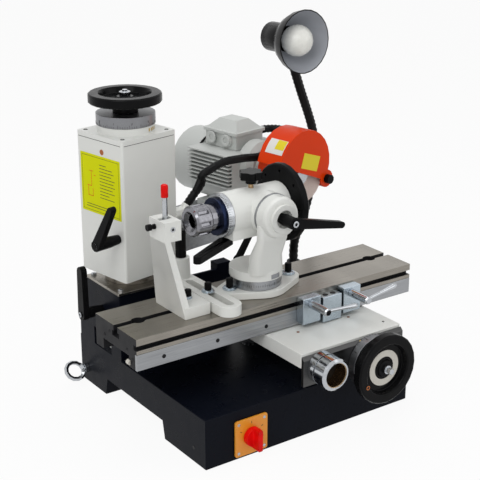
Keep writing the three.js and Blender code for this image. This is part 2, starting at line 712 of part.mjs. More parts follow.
function headFlange() {
  const mid = tableSlotY();
  const low = table.top + seat;
  const { length, width, endRadius, boltOffset } = flange;
  const ends = length / 2 - endRadius;
  const side = width / 2;
  const lean = THREE.MathUtils.radToDeg(Math.acos((side - endRadius) / ends));
  const x = workHead.x + flange.shift;
  const outline = [
    ...arc([x + ends, mid], endRadius, -lean, lean, cornerSteps * 2),
    ...arc([x, mid], side, lean, 180 - lean, cornerSteps * 2),
    ...arc([x - ends, mid], endRadius, 180 - lean, 180 + lean, cornerSteps * 2),
    ...arc([x, mid], side, 180 + lean, 360 - lean, cornerSteps * 2),
  ];
  const plate = prism('z', outline, low, low + flange.thick);
  const holes = [-1, 1].map((end) => rod('z', [x + end * boltOffset, mid, 0], flange.bolt,
    low - overrun, low + flange.thick + overrun, smallSides));
  return named('head_flange', cut(plate, ...holes), whitePaint);
}

function ringFoot() {
  return table.top + flange.thick + 2 * seat;
}

function swivelRingPart() {
  const from = ringFoot();
  return named('swivel_ring', rod('z', [workHead.x, tableSlotY(), 0], swivelRing.radius,
    from, from + swivelRing.height, fineSides), satinSteel);
}

function headAxis() {
  return table.top + workHead.axis;
}

// The turret's drum, leaning column and pivot barrel are one casting
function turretColumn() {
  const mid = tableSlotY();
  const foot = ringFoot() + swivelRing.height + seat;
  const deck = foot + turret.height;
  const axis = headAxis();
  const drum = turned('z', [workHead.x, mid, 0], [
    [0, foot], [turret.radius, foot], [turret.radius, deck - 1 * seat],
    [turret.radius - 2 * seat, deck], [0, deck],
  ], fineSides);
  const neck = [[turret.neckLeft, turret.neckRight], [turret.neckFront, turret.neckRear]];
  const leg = leaningLeg([
    [[turret.footLeft, turret.footRight], [turret.footFront, turret.footRear], deck - overrun],
    [[turret.kneeLeft, turret.kneeRight], [turret.kneeFront, turret.kneeRear], axis - turret.kneeDrop],
    [...neck, axis - turret.neckDrop],
    [...neck, axis - turret.barrel * turret.neckShare],
  ]);
  leg.translate(workHead.x, mid, 0);
  const round = turret.round;
  const profile = [
    [0, turret.barrelFront + turret.dishDepth], [turret.dish, turret.barrelFront + turret.dishDepth],
    [turret.dish, turret.barrelFront - turret.noseLength],
    [turret.nose, turret.barrelFront - turret.noseLength], [turret.nose, turret.barrelFront],
    [turret.barrel - round, turret.barrelFront],
    [turret.barrel - round * turret.roundShare, turret.barrelFront + round * turret.roundShare],
    [turret.barrel, turret.barrelFront + round], [turret.barrel, turret.barrelRear],
    [0, turret.barrelRear],
  ];
  const barrel = turned('y', [workHead.x, mid, axis], profile, fineSides);
  return named('turret_column', fuse(drum, solidOf(leg), barrel), whitePaint);
}

// A four-sided leg with rounded corners through outlines: [left, right], [front, rear], height
function leaningLeg(stations) {
  const rings = stations.map(([sides, [front, rear]]) =>
    roundedOutline(sides, [front, rear], (rear - front) * turret.footRoundShare));
  const count = rings[0].length;
  const last = stations.length - 1;
  const points = rings.flatMap((ring, k) => ring.map(([x, y]) => [x, y, stations[k][2]]));
  for (const k of [0, last]) {
    const [[left, right], [front, rear], height] = stations[k];
    points.push([(left + right) / 2, (front + rear) / 2, height]);
  }
  const index = [];
  for (let i = 0; i < count; i += 1) {
    const next = (i + 1) % count;
    for (let k = 0; k < last; k += 1) {
      const [low, high] = [k * count, (k + 1) * count];
      index.push(low + i, low + next, high + i, low + next, high + next, high + i);
    }
    const top = last * count;
    index.push(top + count, next, i, top + count + 1, top + i, top + next);
  }
  const geometry = new THREE.BufferGeometry();
  geometry.setAttribute('position', new THREE.Float32BufferAttribute(points.flat(), 3));
  geometry.setIndex(index);
  return geometry;
}

function barrelRear() {
  return tableSlotY() + turret.barrelRear;
}

// The spindle's housing, with the pivot boss that seats on the barrel
function spindleHousing() {
  const mid = tableSlotY();
  const axis = headAxis();
  const { radius, left, right, bossRadius, bore, keel, keelShare } = spindleHead;
  const x = workHead.x;
  const body = rod('x', [0, mid, axis], radius, x + left, x + right, fineSides);
  const bossFront = barrelRear() + seat;
  const boss = rod('y', [x, 0, axis], bossRadius, bossFront, mid - bore - 1 * overrun, fineSides);
  const keelBlock = block([x + left, x + right], [mid - radius * keelShare, mid + radius * keelShare],
    [axis - keel, axis - keel / 2]);
  const spindleBore = rod('x', [0, mid, axis], bore, x + left - overrun, x + right + overrun);
  const pinBore = rod('z', [x + indexKnob.x, mid, 0], indexKnob.pin + running, axis + bore / 2,
    axis + radius + overrun, smallSides);
  return named('spindle_housing', cut(fuse(body, boss, keelBlock), spindleBore, pinBore), whitePaint);
}

function workSpindle() {
  const x = workHead.x;
  const left = x + spindleHead.left;
  const right = x + spindleHead.right;
  const dialLeft = left - seat - dial.length;
  const flangeLeft = dialLeft - spindle.flangeThick;
  const nose = flangeLeft - spindle.tail;
  const hub = right + 2 * seat + indexPlate.thick;
  const { radius, bore, flange: wide, tail: thin } = spindle;
  const profile = [
    [bore, nose], [thin, nose], [thin, flangeLeft], [wide, flangeLeft], [wide, dialLeft - seat],
    [radius, dialLeft - seat], [radius, right + seat], [thin, right + seat], [thin, hub],
    [bore, hub], [bore, nose],
  ];
  return named('work_spindle',
    turned('x', [0, tableSlotY(), headAxis()], profile, roundSides), blueSteel);
}

function spindleDial() {
  const to = workHead.x + spindleHead.left - seat;
  return named('spindle_dial', tube('x', [0, tableSlotY(), headAxis()], dial.radius,
    spindle.radius + seat, to - dial.length, to, fineSides), satinSteel);
}

function colletNut() {
  const mid = tableSlotY();
  const axis = headAxis();
  const flangeLeft = workHead.x + spindleHead.left - seat - dial.length - spindle.flangeThick;
  const rear = flangeLeft - seat;
  const front = rear - collet.length;
  const { radius, shank, head, cone, mouth, lip } = collet;
  const noseEnd = flangeLeft - spindle.tail - seat;
  const body = turned('x', [0, mid, axis], [
    [cone, front], [radius - lip / 2, front], [radius, front + lip / 2], [radius, front + head],
    [shank, front + head + radius - shank], [shank, rear], [spindle.tail + seat, rear],
    [spindle.tail + seat, noseEnd], [mouth, noseEnd], [mouth, front + cone - mouth], [cone, front],
  ], fineSides);
  const slots = [];
  for (let i = 0; i < collet.slots; i += 1) {
    const angle = (2 * Math.PI * i) / collet.slots;
    slots.push(rod('x', [0, mid + radius * Math.cos(angle), axis + radius * Math.sin(angle)],
      collet.slot - collet.slotDepth / 2, front + lip, front + head - lip / 2, smallSides / 2));
  }
  return named('collet_nut', cut(body, ...slots), chrome);
}

function indexPlatePart() {
  const from = workHead.x + spindleHead.right + seat * 2;
  const to = from + indexPlate.thick;
  const { radius, hole, holes, ringShare, thick } = indexPlate;
  const mid = tableSlotY();
  const axis = headAxis();
  const disc = turned('x', [0, mid, axis], [
    [spindle.tail + seat, from], [radius - thick / 6, from], [radius, from + thick / 6],
    [radius, to - thick / 6], [radius - thick / 6, to], [spindle.tail + seat, to],
    [spindle.tail + seat, from],
  ], fineSides);
  const drilled = [];
  for (let i = 0; i < holes; i += 1) {
    const angle = (2 * Math.PI * i) / holes;
    const place = [0, mid + radius * ringShare * Math.cos(angle),
      axis + radius * ringShare * Math.sin(angle)];
    drilled.push(rod('x', place, hole, from - overrun, to + overrun, 6));
  }
  return named('index_plate', cut(disc, ...drilled), blackPlastic);
}

// A lobed knob on a pin that drops into the spindle
function indexKnobPart() {
  const { radius, lobes, height, hub, hubHeight, pin, lift } = indexKnob;
  const low = headAxis() + spindleHead.radius + lift;
  const place = [workHead.x + indexKnob.x, tableSlotY(), 0];
  const outline = Array.from({ length: lobes * 8 }, (_, i) => {
    const angle = (2 * Math.PI * i) / (lobes * 8);
    const reach = radius * (0.9 + 0.1 * Math.cos(angle * lobes));
    return [place[0] + reach * Math.cos(angle), place[1] + reach * Math.sin(angle)];
  });
  const grip = prism('z', outline, low + hubHeight, low + hubHeight + height);
  const foot = rod('z', place, hub, low, low + hubHeight + overrun, smallSides);
  const shank = rod('z', place, pin, headAxis() + spindle.radius + 2 * seat, low + overrun, smallSides);
  return named('index_knob', fuse(grip, foot, shank), blackPlastic);
}

function workHeadLevers() {
  const mid = tableSlotY();
  const barrelFloor = mid + turret.barrelFront + turret.dishDepth - seat;
  const tilt = seatLever(clampLever('tilt_lever', tiltLever),
    [workHead.x, barrelFloor, headAxis()], 'front', tiltLever.angle);
  const lock = clampLever('spindle_lock_lever', lockLever);
  const lockPlace = [workHead.x + lockLever.x, mid + lockLever.y,
    headAxis() - spindleHead.keel - seat];
  lock.position.set(...lockPlace);
  lock.rotation.set(Math.PI, 0, 0);
  lock.rotateZ(THREE.MathUtils.degToRad(lockLever.angle));
  const rear = clampLever('turret_lever', turretLever);
  rear.position.set(workHead.x, mid + turret.radius + seat, ringFoot() + swivelRing.height
    + seat + turret.height / 2);
  rear.rotation.set(-Math.PI / 2, 0, 0);
  rear.rotateZ(-THREE.MathUtils.degToRad(turretLever.angle));
  return { tilt, lock, rear };
}

// Centre support

function tailBlock() {
  const mid = tableSlotY();
  return {
    x: [tail.blockX, tail.blockX + tail.blockWidth],
    y: [mid - tail.blockDepth / 2, mid + tail.blockDepth / 2],
    z: [table.top + tail.blockTop - tail.blockHeight, table.top + tail.blockTop],
  };
}

function tailBody() {
  const mid = tableSlotY();
  const low = table.top + seat;
  const { x, y, z } = tailBlock();
  const halfDepth = tail.baseDepth / 2;
  const foot = prism('z', roundedOutline([tail.x, tail.x + tail.baseWidth],
    [mid - halfDepth, mid + halfDepth], saddle.corner), low, low + tail.baseThick);
  const crown = block(x, y, z);
  const footTop = low + tail.baseThick;
  const slant = prism('y', [
    [tail.x, low], [tail.x + tail.legFoot, low], [tail.x + tail.legFoot, footTop],
    [x[0] + tail.legTop, z[0] + seat], [x[0], z[0] + seat],
  ], mid - halfDepth, mid + halfDepth);
  const flare = prism('x', [
    [mid - halfDepth, low], [mid + halfDepth, low], [y[1], z[0] + seat], [y[0], z[0] + seat],
  ], x[0] - overrun, tail.x + tail.baseWidth);
  const leg = slant.intersect(flare);
  const quillBore = rod('x', [0, mid, headAxis()], tail.quill + running, x[0] + tail.legTop / 2,
    x[1] + overrun);
  const slot = block([x[0] + tail.slotWall, x[1] - tail.legTop / 2],
    [mid - tail.rod - running, mid + tail.rod + running], [headAxis(), z[1] + overrun]);
  const sideHole = rod('y', [(x[0] + x[1]) / 2, 0, z[1] - tail.holeDrop], tail.sideHole,
    y[0] - overrun, y[0] + tail.quill, smallSides);
  return named('tail_body', cut(fuse(foot, crown, leg), quillBore, slot, sideHole), whitePaint);
}

function tailCentre() {
  const mid = tableSlotY();
  const axis = headAxis();
  const { x, z } = tailBlock();
  const from = x[1] - tail.quillLength * tail.quillShare;
  const to = x[1] + tail.point;
  const quill = turned('x', [0, mid, axis], [
    [0, from], [tail.quill, from], [tail.quill, to], [0, to + tail.pointLength],
  ], roundSides);
  const place = [x[0] + tail.blockWidth * tail.rodShare, mid, 0];
  const stick = turned('z', place, [
    [0, axis], [tail.rod, axis], [tail.rod, z[1] + tail.rodRise - tail.capLength],
    [tail.cap, z[1] + tail.rodRise - tail.capLength], [tail.cap, z[1] + tail.rodRise - tail.cap],
    [tail.cap * tail.capShare, z[1] + tail.rodRise], [0, z[1] + tail.rodRise],
  ], smallSides);
  return named('tail_centre', fuse(quill, stick), chrome);
}

function tailScrew() {
  const { x, y, z } = tailBlock();
  const place = [0, (y[0] + y[1]) / 2 + tail.screwY, z[1] - tail.screwDrop];
  const left = x[0] - seat;
  const { screw, screwHead, screwLength, waistShare } = tail;
  return named('tail_screw', turned('x', place, [
    [0, left - screwLength], [screwHead, left - screwLength], [screwHead, left - screwLength / 2],
    [screw * waistShare, left - screwLength / 2], [screw * waistShare, left - screwLength / 4],
    [screw, left - screwLength / 4], [screw, left], [0, left],
  ], smallSides), blackPlastic);
}

// Tooth rest

function restArm() {
  const low = table.top + seat;
  const high = low + rest.thick;
  const half = rest.width / 2;
  const end = rest.front + half;
  const outline = [
    ...arc([rest.x, end], half, 180, 360, cornerSteps * 3),
    ...arc([rest.x, rest.rear - half], half, 0, 180, cornerSteps * 3),
  ];
  const bar = prism('z', outline, low, high);
  const slotHalf = rest.slot / 2;
  const slot = prism('z', [
    ...arc([rest.x, rest.slotFront], slotHalf, 180, 360, cornerSteps * 2),
    ...arc([rest.x, rest.slotRear], slotHalf, 0, 180, cornerSteps * 2),
  ], low - overrun, high + overrun);
  const boss = turned('z', [rest.x, rest.rear - half, 0], [
    [0, high - overrun], [rest.bossFoot, high - overrun], [rest.bossTop, low + rest.bossHeight],
    [0, low + rest.bossHeight],
  ], roundSides);
  const bore = rod('z', [rest.x, rest.rear - half, 0], rest.bore, high, low + rest.bossHeight + overrun,
    smallSides);
  return named('rest_arm', cut(fuse(cut(bar, slot), boss), bore), whitePaint);
}

function restPost() {
  const half = rest.width / 2;
  const top = table.top + seat + rest.bossHeight;
  return named('rest_post', turned('z', [rest.x, rest.rear - half, 0], [
    [0, table.top + rest.thick + 2 * seat], [rest.stem, table.top + rest.thick + 2 * seat],
    [rest.stem, top + seat], [rest.post, top + seat], [rest.post, top + rest.postRise],
    [0, top + rest.postRise],
  ], roundSides), blackPlastic);
}

// Pillar and head housing, in the head's own turned frame about the pillar's axis

function pillarPart() {
  const shoulder = pedestal.top + pedestal.plate + 2 * seat;
  const low = pedestal.socketFloor + seat;
  const profile = [
    [pillar.bore, low], [pillar.radius, low], [pillar.radius, shoulder],
    [pillar.foot, shoulder], [pillar.foot, shoulder + pillar.footHeight],
    [pillar.radius, shoulder + pillar.footHeight], [pillar.radius, pillar.top],
    [pillar.bore, pillar.top], [pillar.bore, low],
  ];
  return named('pillar', turned('z', [0, 0, 0], profile, fineSides), groundSteel);
}

function headHousing() {
  const half = housing.side / 2;
  const box = prism('z', roundedOutline([-half, half], [-half, half], housing.corner),
    housing.bottom, housing.top);
  const bore = rod('z', [0, 0, 0], housing.bore, housing.bottom - overrun,
    housing.top - housing.cap, fineSides);
  const screwHole = rod('z', [0, 0, 0], liftScrew.radius + running,
    housing.top - housing.cap - overrun, headTop() + overrun, smallSides);
  const boss = rod('z', [0, 0, 0], housing.boss, housing.top - overrun, headTop(), fineSides);
  const stub = rod('x', [0, elbow.y, elbow.z], elbow.boss, half - overrun, elbow.x, smallSides);
  const knee = elbowEnd();
  const sleeve = bar([elbow.x, elbow.y, elbow.z], knee, elbow.radius, smallSides);
  return named('head_housing', cut(fuse(box, boss, stub, sleeve), bore, screwHole), whitePaint);
}

function headTop() {
  return housing.top + housing.bossHeight;
}

// Where the conduit's elbow ends, and the way that the conduit leaves it
function elbowAim() {
  return new THREE.Vector3(...conduitFall).normalize();
}

function elbowEnd(extra = 0) {
  const end = new THREE.Vector3(elbow.x, elbow.y, elbow.z)
    .addScaledVector(elbowAim(), elbow.reach + extra);
  return end.toArray();
}

// The cast arm that carries the motor beside the housing
function motorArmPart() {
  const left = housing.side / 2 + seat;
  const { front, rear, right, height, nose } = motorArm;
  const outline = [
    [left, housing.bottom], [right - nose, housing.bottom],
    ...arc([right - nose, housing.bottom + nose], nose, -90, 0, cornerSteps).slice(1),
    [right, housing.bottom + height], [left, housing.bottom + height],
  ];
  return named('motor_arm', prism('y', outline, front, rear), satinSteel);
}

function topDialPart() {
  const from = headTop() + seat;
  return named('top_dial', tube('z', [0, 0, 0], topDial.radius, liftScrew.radius + running,
    from, from + topDial.height, fineSides), satinSteel);
}

function topHandwheel() {
  const mesh = named('top_handwheel', handwheel(topWheel), blackPlastic);
  mesh.position.z = headTop() + 2 * seat + topDial.height;
  return mesh;
}

function liftScrewPart() {
  const wheelFoot = headTop() + 2 * seat + topDial.height;
  const hubTop = wheelFoot + topWheel.standoff - topWheel.web;
  const { radius, length, nut, nutThick, endShare } = liftScrew;
  const profile = [
    [0, housing.top - length], [radius, housing.top - length], [radius, hubTop + seat],
    [nut, hubTop + seat], [nut, hubTop + nutThick], [radius * endShare, hubTop + nutThick],
    [radius * endShare, hubTop + nutThick + radius / 2], [0, hubTop + nutThick + radius / 2],
  ];
  return named('lift_screw', turned('z', [0, 0, 0], profile, smallSides), chrome);
}

function headLevers() {
  const face = -housing.side / 2 - seat;
  const head = seatLever(clampLever('housing_lever', housingLever),
    [face, housingLever.y, housingLever.z], 'left', housingLever.angle);
  const foot = seatLever(clampLever('pillar_lever', pillarLever),
    [-base.width / 2 - seat, column.y, pillarLever.z], 'left', pillarLever.angle);
  return { head, foot };
}

// Motor

function motorBody() {
  const { x, z, half, core, rise, drop, corner, front, rear, shield, shieldThick } = motor;
  const frame = prism('y', roundedOutline([x - core, x + core], [z - drop, z + rise], corner),
    front, rear);
  const ends = turned('y', [x, 0, z], [
    [0, motor.shieldFront - shieldThick], [motor.nose, motor.shieldFront - shieldThick],
    [motor.nose, motor.shieldFront], [shield - shieldThick, motor.shieldFront],
    [shield, motor.shieldFront + shieldThick], [shield, front + shieldThick], [0, front + shieldThick],
  ], fineSides);
  const tail = rod('y', [x, 0, z - motor.cowlDrop], motor.rim, rear - overrun, rear + shieldThick,
    fineSides);
  const fins = [];
  for (let i = 0; i < motor.fins; i += 1) {
    const height = z - motor.finDrop + (i - (motor.fins - 1) / 2) * motor.finPitch;
    fins.push(block([x - half, x + half], [front, rear],
      [height - motor.fin / 2, height + motor.fin / 2]));
  }
  const armTop = housing.bottom + motorArm.height + seat;
  const feet = [-1, 1].map((side) => block(
    side < 0 ? [x - half, x - motor.foot] : [x + motor.foot, x + half],
    [front + motor.foot, rear - motor.foot], [armTop, armTop + motor.footThick]));
  const legs = [-1, 1].map((side) => block(
    side < 0 ? [x - core + corner, x - motor.foot] : [x + motor.foot, x + core - corner],
    [front + motor.foot, rear - motor.foot], [armTop, z]));
  return named('motor_body', fuse(frame, ends, tail, ...fins, ...feet, ...legs), lightGrey);
}

function fanCowl() {
  const { x, z, cowl, cowlWall, rear, cowlEnd, shieldThick, rim } = motor;
  const place = [x, 0, z - motor.cowlDrop];
  const inner = rim + seat;
  const profile = [
    [inner, rear + seat], [cowl, rear + seat], [cowl, cowlEnd - shieldThick],
    [cowl - shieldThick, cowlEnd], [0, cowlEnd], [0, cowlEnd - cowlWall],
    [inner - shieldThick, cowlEnd - cowlWall], [inner, cowlEnd - shieldThick],
    [inner, rear + seat],
  ];
  const shell = turned('y', place, profile, fineSides);
  const slots = [];
  for (let i = 0; i < motor.ventSlots; i += 1) {
    const angle = (2 * Math.PI * i) / motor.ventSlots;
    const [near, far] = motor.ventShares;
    const slot = block([cowl * near, cowl * far], [cowlEnd - cowlWall - overrun, cowlEnd + overrun],
      [-motor.ventSlot / 2, motor.ventSlot / 2]);
    slots.push(slot.rotate([0, THREE.MathUtils.radToDeg(angle), 0]).translate(place));
  }
  return named('fan_cowl', cut(shell, ...slots), lightGrey);
}

function terminalBox() {
  const { front, depth, width, height, rim, lid, taper, inset } = terminal;
  const { x } = motor;
  const low = terminal.seat + seat;
  const rimLow = low + height - rim;
  const half = width / 2;
  const box = block([x - half + inset, x + half - inset], [front + inset, front + depth - inset],
    [low, rimLow + overrun / 2]);
  const plate = prism('z', roundedOutline([x - half, x + half], [front, front + depth], inset),
    rimLow, rimLow + rim);
  const crown = solidOf(pyramid([x - half + rim, x + half - rim],
    [front + rim, front + depth - rim], rimLow + rim - seat, lid, taper));
  const glands = terminal.glandShares.map((share) => rod('x',
    [0, front + depth * share, low + height / 2], terminal.gland,
    x - half + inset - terminal.glandLength, x - half + inset + overrun));
  const outlet = rod('x', [0, conduitStart().y, conduitStart().z], terminal.outlet,
    x + half - inset - overrun, x + half - inset + terminal.outletLength);
  return named('terminal_box', fuse(box, plate, crown, ...glands, outlet), lightGrey);
}

// A four-sided frustum that stands on a rectangle
function pyramid([x0, x1], [y0, y1], low, rise, taper) {
  const points = [
    x0, y0, low, x1, y0, low, x1, y1, low, x0, y1, low,
    x0 + taper, y0 + taper, low + rise, x1 - taper, y0 + taper, low + rise,
    x1 - taper, y1 - taper, low + rise, x0 + taper, y1 - taper, low + rise,
  ];
  const faces = [0, 2, 1, 0, 3, 2, 4, 5, 6, 4, 6, 7];
  for (let i = 0; i < 4; i += 1) {
    const next = (i + 1) % 4;
    faces.push(i, next, next + 4, i, next + 4, i + 4);
  }
  const geometry = new THREE.BufferGeometry();
  geometry.setAttribute('position', new THREE.Float32BufferAttribute(points, 3));
  geometry.setIndex(faces);
  return geometry;
}

// Grinding spindle, wheel and guard

function wheelSpindle() {
  const { spindle: radius, washer, washerThick, nut, nutThick, front, thick } = wheel;
  const noseEnd = motor.shieldFront - motor.shieldThick - seat;
  const rearFace = front + thick;
  const profile = [
    [0, front - washerThick - nutThick], [nut, front - washerThick - nutThick],
    [nut, front - washerThick], [washer, front - washerThick], [washer, front - seat],
    [radius, front - seat], [radius, rearFace + seat], [washer, rearFace + seat],
    [washer, rearFace + washerThick], [radius, rearFace + washerThick], [radius, noseEnd], [0, noseEnd],
  ];
  return named('wheel_spindle', turned('y', [motor.x, 0, motor.z], profile, roundSides), satinSteel);
}

function grindingWheel() {
  const { radius, thick, bore, dish, dishDepth, front } = wheel;
  const profile = [
    [bore, front], [dish, front], [radius, front - dishDepth],
    [radius, front + thick * wheel.rimShare], [dish, front + thick], [bore, front + thick], [bore, front],
  ];
  return named('grinding_wheel', turned('y', [motor.x, 0, motor.z], profile, fineSides), abrasive);
}

function wheelGuard() {
  const { radius, drop, turn, rise, front, rear, wall, collar, collarWall, ear } = guard;
  const outline = (inset, low) => [
    [radius - inset, low], ...arc([0, 0], radius - inset, 0, 180, fineSides / 2),
    [-radius + inset, low],
  ];
  const cover = prism('y', outline(0, -drop), front, rear);
  const room = prism('y', outline(wall, -drop - overrun), front + wall, rear - wall);
  const lug = rod('y', [guard.earX, 0, guard.earZ + drop / 2], ear, front, front + ear);
  const axisPlace = [0, 0, -rise];
  let shell = fuse(cut(cover, room), cut(lug, prism('y', outline(wall, -drop - 2 * ear),
    front + wall, rear - wall)));
  shell = shell.rotate([0, -turn, 0]);
  const neckRear = motor.shieldFront - motor.shieldThick - seat;
  const neck = tube('y', axisPlace, collar, collar - collarWall, rear - wall, neckRear, fineSides);
  const backPlate = rod('y', axisPlace, collar, rear - wall, rear);
  const eye = rod('y', axisPlace, collar - collarWall, rear - wall - overrun, rear + overrun, fineSides);
  const whole = cut(fuse(shell, neck, backPlate), eye);
  return named('wheel_guard', whole.translate([motor.x, 0, motor.z + rise]), orangePaint);
}

function guardKnobPart() {
  const angle = THREE.MathUtils.degToRad(guard.turn);
  const [u, v] = [guard.earX, guard.earZ + guard.drop / 2];
  const place = [
    motor.x + u * Math.cos(angle) - v * Math.sin(angle), 0,
    motor.z + guard.rise + u * Math.sin(angle) + v * Math.cos(angle),
  ];
  const rear = guard.front - seat;
  return named('guard_knob', rod('y', place, guardKnob.radius, rear - guardKnob.length, rear,
    smallSides), blackPlastic);
}

// Ribbed hoses

// Section rings of a ribbed hose along a curve: each rib is a crest and a groove
function ribbedHose(curve, size) {
  const length = curve.getLength();
  const ribs = Math.round(length / size.pitch);
  const rings = [];
  const frames = curve.computeFrenetFrames(ribs * 2, false);
  const ring = (index, radius) => {
    const share = index / (ribs * 2);
    const centre = curve.getPointAt(share);
    return Array.from({ length: ribSides }, (_, i) => {
      const angle = (2 * Math.PI * i) / ribSides;
      return centre.clone()
        .addScaledVector(frames.normals[index], radius * Math.cos(angle))
        .addScaledVector(frames.binormals[index], radius * Math.sin(angle));
    });
  };
  for (let i = 0; i <= ribs * 2; i += 1) {
    rings.push(ring(i, i % 2 ? size.radius - size.groove : size.radius));
  }
  for (let i = ribs * 2; i >= 0; i -= 1) {
    if (i === 0 || i === ribs * 2 || i % (2 * boreEvery) === 0) rings.push(ring(i, size.bore));
  }
  return closedLoops(rings);
}

// Joins rings of equal counts into one closed band, the last ring back to the first
function closedLoops(rings) {
  const points = rings.flat().flatMap((p) => [p.x, p.y, p.z]);
  const index = [];
  rings.forEach((_, k) => {
    const here = k * ribSides;
    const there = ((k + 1) % rings.length) * ribSides;
    for (let i = 0; i < ribSides; i += 1) {
      const next = (i + 1) % ribSides;
      index.push(here + i, here + next, there + i, here + next, there + next, there + i);
    }
  });
  const geometry = new THREE.BufferGeometry();
  geometry.setAttribute('position', new THREE.Float32BufferAttribute(points, 3));
  geometry.setIndex(index);
  return geometry;
}

function hose(name, points, size) {
  const curve = new THREE.CatmullRomCurve3(points.map((p) => new THREE.Vector3(...p)), false,
    'centripetal');
  return named(name, solidOf(ribbedHose(curve, size)), rubber);
}

function conduitStart() {
  const [along, up] = terminal.outletShares;
  return {
    y: terminal.front + terminal.depth * along,
    z: terminal.seat + seat + terminal.height * up,
  };
}

// The lead's conduit runs from the terminal box round the motor's front to the housing's side
function conduitPart() {
  const start = conduitStart();
  const x = motor.x + terminal.width / 2 - terminal.inset + terminal.outletLength + seat;
  const straight = 2 * conduit.radius;
  const points = [
    [x, start.y, start.z], [x + straight, start.y, start.z],
    ...conduitRoute.map(([dx, dy, dz]) => [x + dx, start.y + dy, start.z + dz]),
    elbowEnd(3 * straight), elbowEnd(straight + seat), elbowEnd(seat),
  ];
  return hose('conduit', points, conduit);
}

// Lamp

function lampBracket() {
  const right = base.width / 2 + seat;
  const plate = block([right, right + lamp.plate], [lamp.y - lamp.plateHalf, lamp.y + lamp.plateHalf],
    [lamp.plateBottom, lamp.shelf]);
  const shelf = block([right, lamp.x + lamp.collar], [lamp.y - lamp.collar, lamp.y + lamp.collar],
    [lamp.shelf - lamp.shelfThick, lamp.shelf]);
  const post = rod('z', [lamp.x, lamp.y, 0], lamp.post, lamp.shelf - overrun, lamp.neck);
  const collar = rod('z', [lamp.x, lamp.y, 0], lamp.collar, lamp.neck - lamp.collarHeight, lamp.neck);
  return named('lamp_bracket', fuse(plate, shelf, post, collar), blackPaint);
}

function shadeMouth() {
  return new THREE.Vector3(lamp.x + shade.aside, lamp.y + shade.ahead, shade.height);
}

function shadeAxes() {
  const out = new THREE.Vector3(...shade.aimShares).normalize();
  const side = new THREE.Vector3(0, 0, 1).cross(out).normalize();
  const up = out.clone().cross(side);
  return { out, side, up };
}

// Seats a mesh made in the lamp's own frame: +Z out of the mouth, +X to its side
function seatLamp(mesh) {
  const { out, side, up } = shadeAxes();
  mesh.quaternion.setFromRotationMatrix(new THREE.Matrix4().makeBasis(side, up, out));
  mesh.position.copy(shadeMouth());
  return mesh;
}

// The swivel ball under the lamp's socket, where the gooseneck ends
function shadeBall() {
  const { out, side, up } = shadeAxes();
  return shadeMouth().addScaledVector(out, -shade.ballBack)
    .addScaledVector(side, shade.ballSide).addScaledVector(up, -shade.ballDrop);
}

function gooseneckPart() {
  const ball = shadeBall();
  const foot = lamp.neck + seat;
  const straight = 2 * gooseneck.radius;
  const bend = goosePoints[goosePoints.length - 1];
  const last = new THREE.Vector3(lamp.x + bend[0], lamp.y, lamp.neck + bend[1]);
  const fall = last.clone().sub(ball).normalize();
  const onBall = (reach) => ball.clone().addScaledVector(fall, reach).toArray();
  const points = [
    [lamp.x, lamp.y, foot], [lamp.x, lamp.y, foot + straight],
    ...goosePoints.map(([dx, dz]) => [lamp.x + dx, lamp.y, lamp.neck + dz]),
    onBall(shade.ball + 4 * straight), onBall(shade.ball + 2 * straight), onBall(shade.ball + straight),
    onBall(shade.ball - seat),
  ];
  return hose('lamp_gooseneck', points, gooseneck);
}

// The shade is turned in its own frame, open towards +Z, and then aimed
function lampShade() {
  const { rim, wall, depth, throat, socket, socketLength, nub, nubLength, ball } = shade;
  const { waistShare, waistDepthShare, flareShare, flareDepthShare, socketShare } = shade;
  const outer = [
    [throat + wall, -depth], [rim * waistShare, -depth * waistDepthShare],
    [rim * flareShare, -depth * flareDepthShare], [rim, 0],
  ];
  const inner = [
    [rim - wall, 0], [rim * flareShare - wall, -depth * flareDepthShare],
    [rim * waistShare - wall, -depth * waistDepthShare], [throat - wall, -depth + wall],
  ];
  const profile = [
    [0, -depth - socketLength - nubLength], [nub, -depth - socketLength - nubLength],
    [nub, -depth - socketLength], [socket * socketShare, -depth - socketLength],
    [socket, -depth - socketLength + nubLength], [socket, -depth], ...outer, ...inner,
    [0, -depth + wall],
  ];
  const bell = turned('z', [0, 0, 0], profile, fineSides);
  const joint = new THREE.SphereGeometry(ball, roundSides, smallSides);
  joint.translate(shade.ballSide, -shade.ballDrop, -shade.ballBack);
  return seatLamp(named('lamp_shade', fuse(bell, solidOf(joint)), blackPaint));
}

function lampBulb() {
  const { radius, neck, reach, cap } = bulb;
  const back = -shade.depth + shade.wall + seat;
  const centre = -reach - radius * bulb.sinkShare;
  const start = THREE.MathUtils.degToRad(bulb.startAngle);
  const profile = [[0, back], [neck, back], [neck, back + cap]];
  for (let i = 0; i <= cornerSteps * 2; i += 1) {
    const angle = start + ((Math.PI / 2 - start) * i) / (cornerSteps * 2);
    profile.push([i === cornerSteps * 2 ? 0 : radius * Math.cos(angle), centre + radius * Math.sin(angle)]);
  }
  return seatLamp(named('lamp_bulb', turned('z', [0, 0, 0], profile, roundSides), frosted));
}

// Assembly

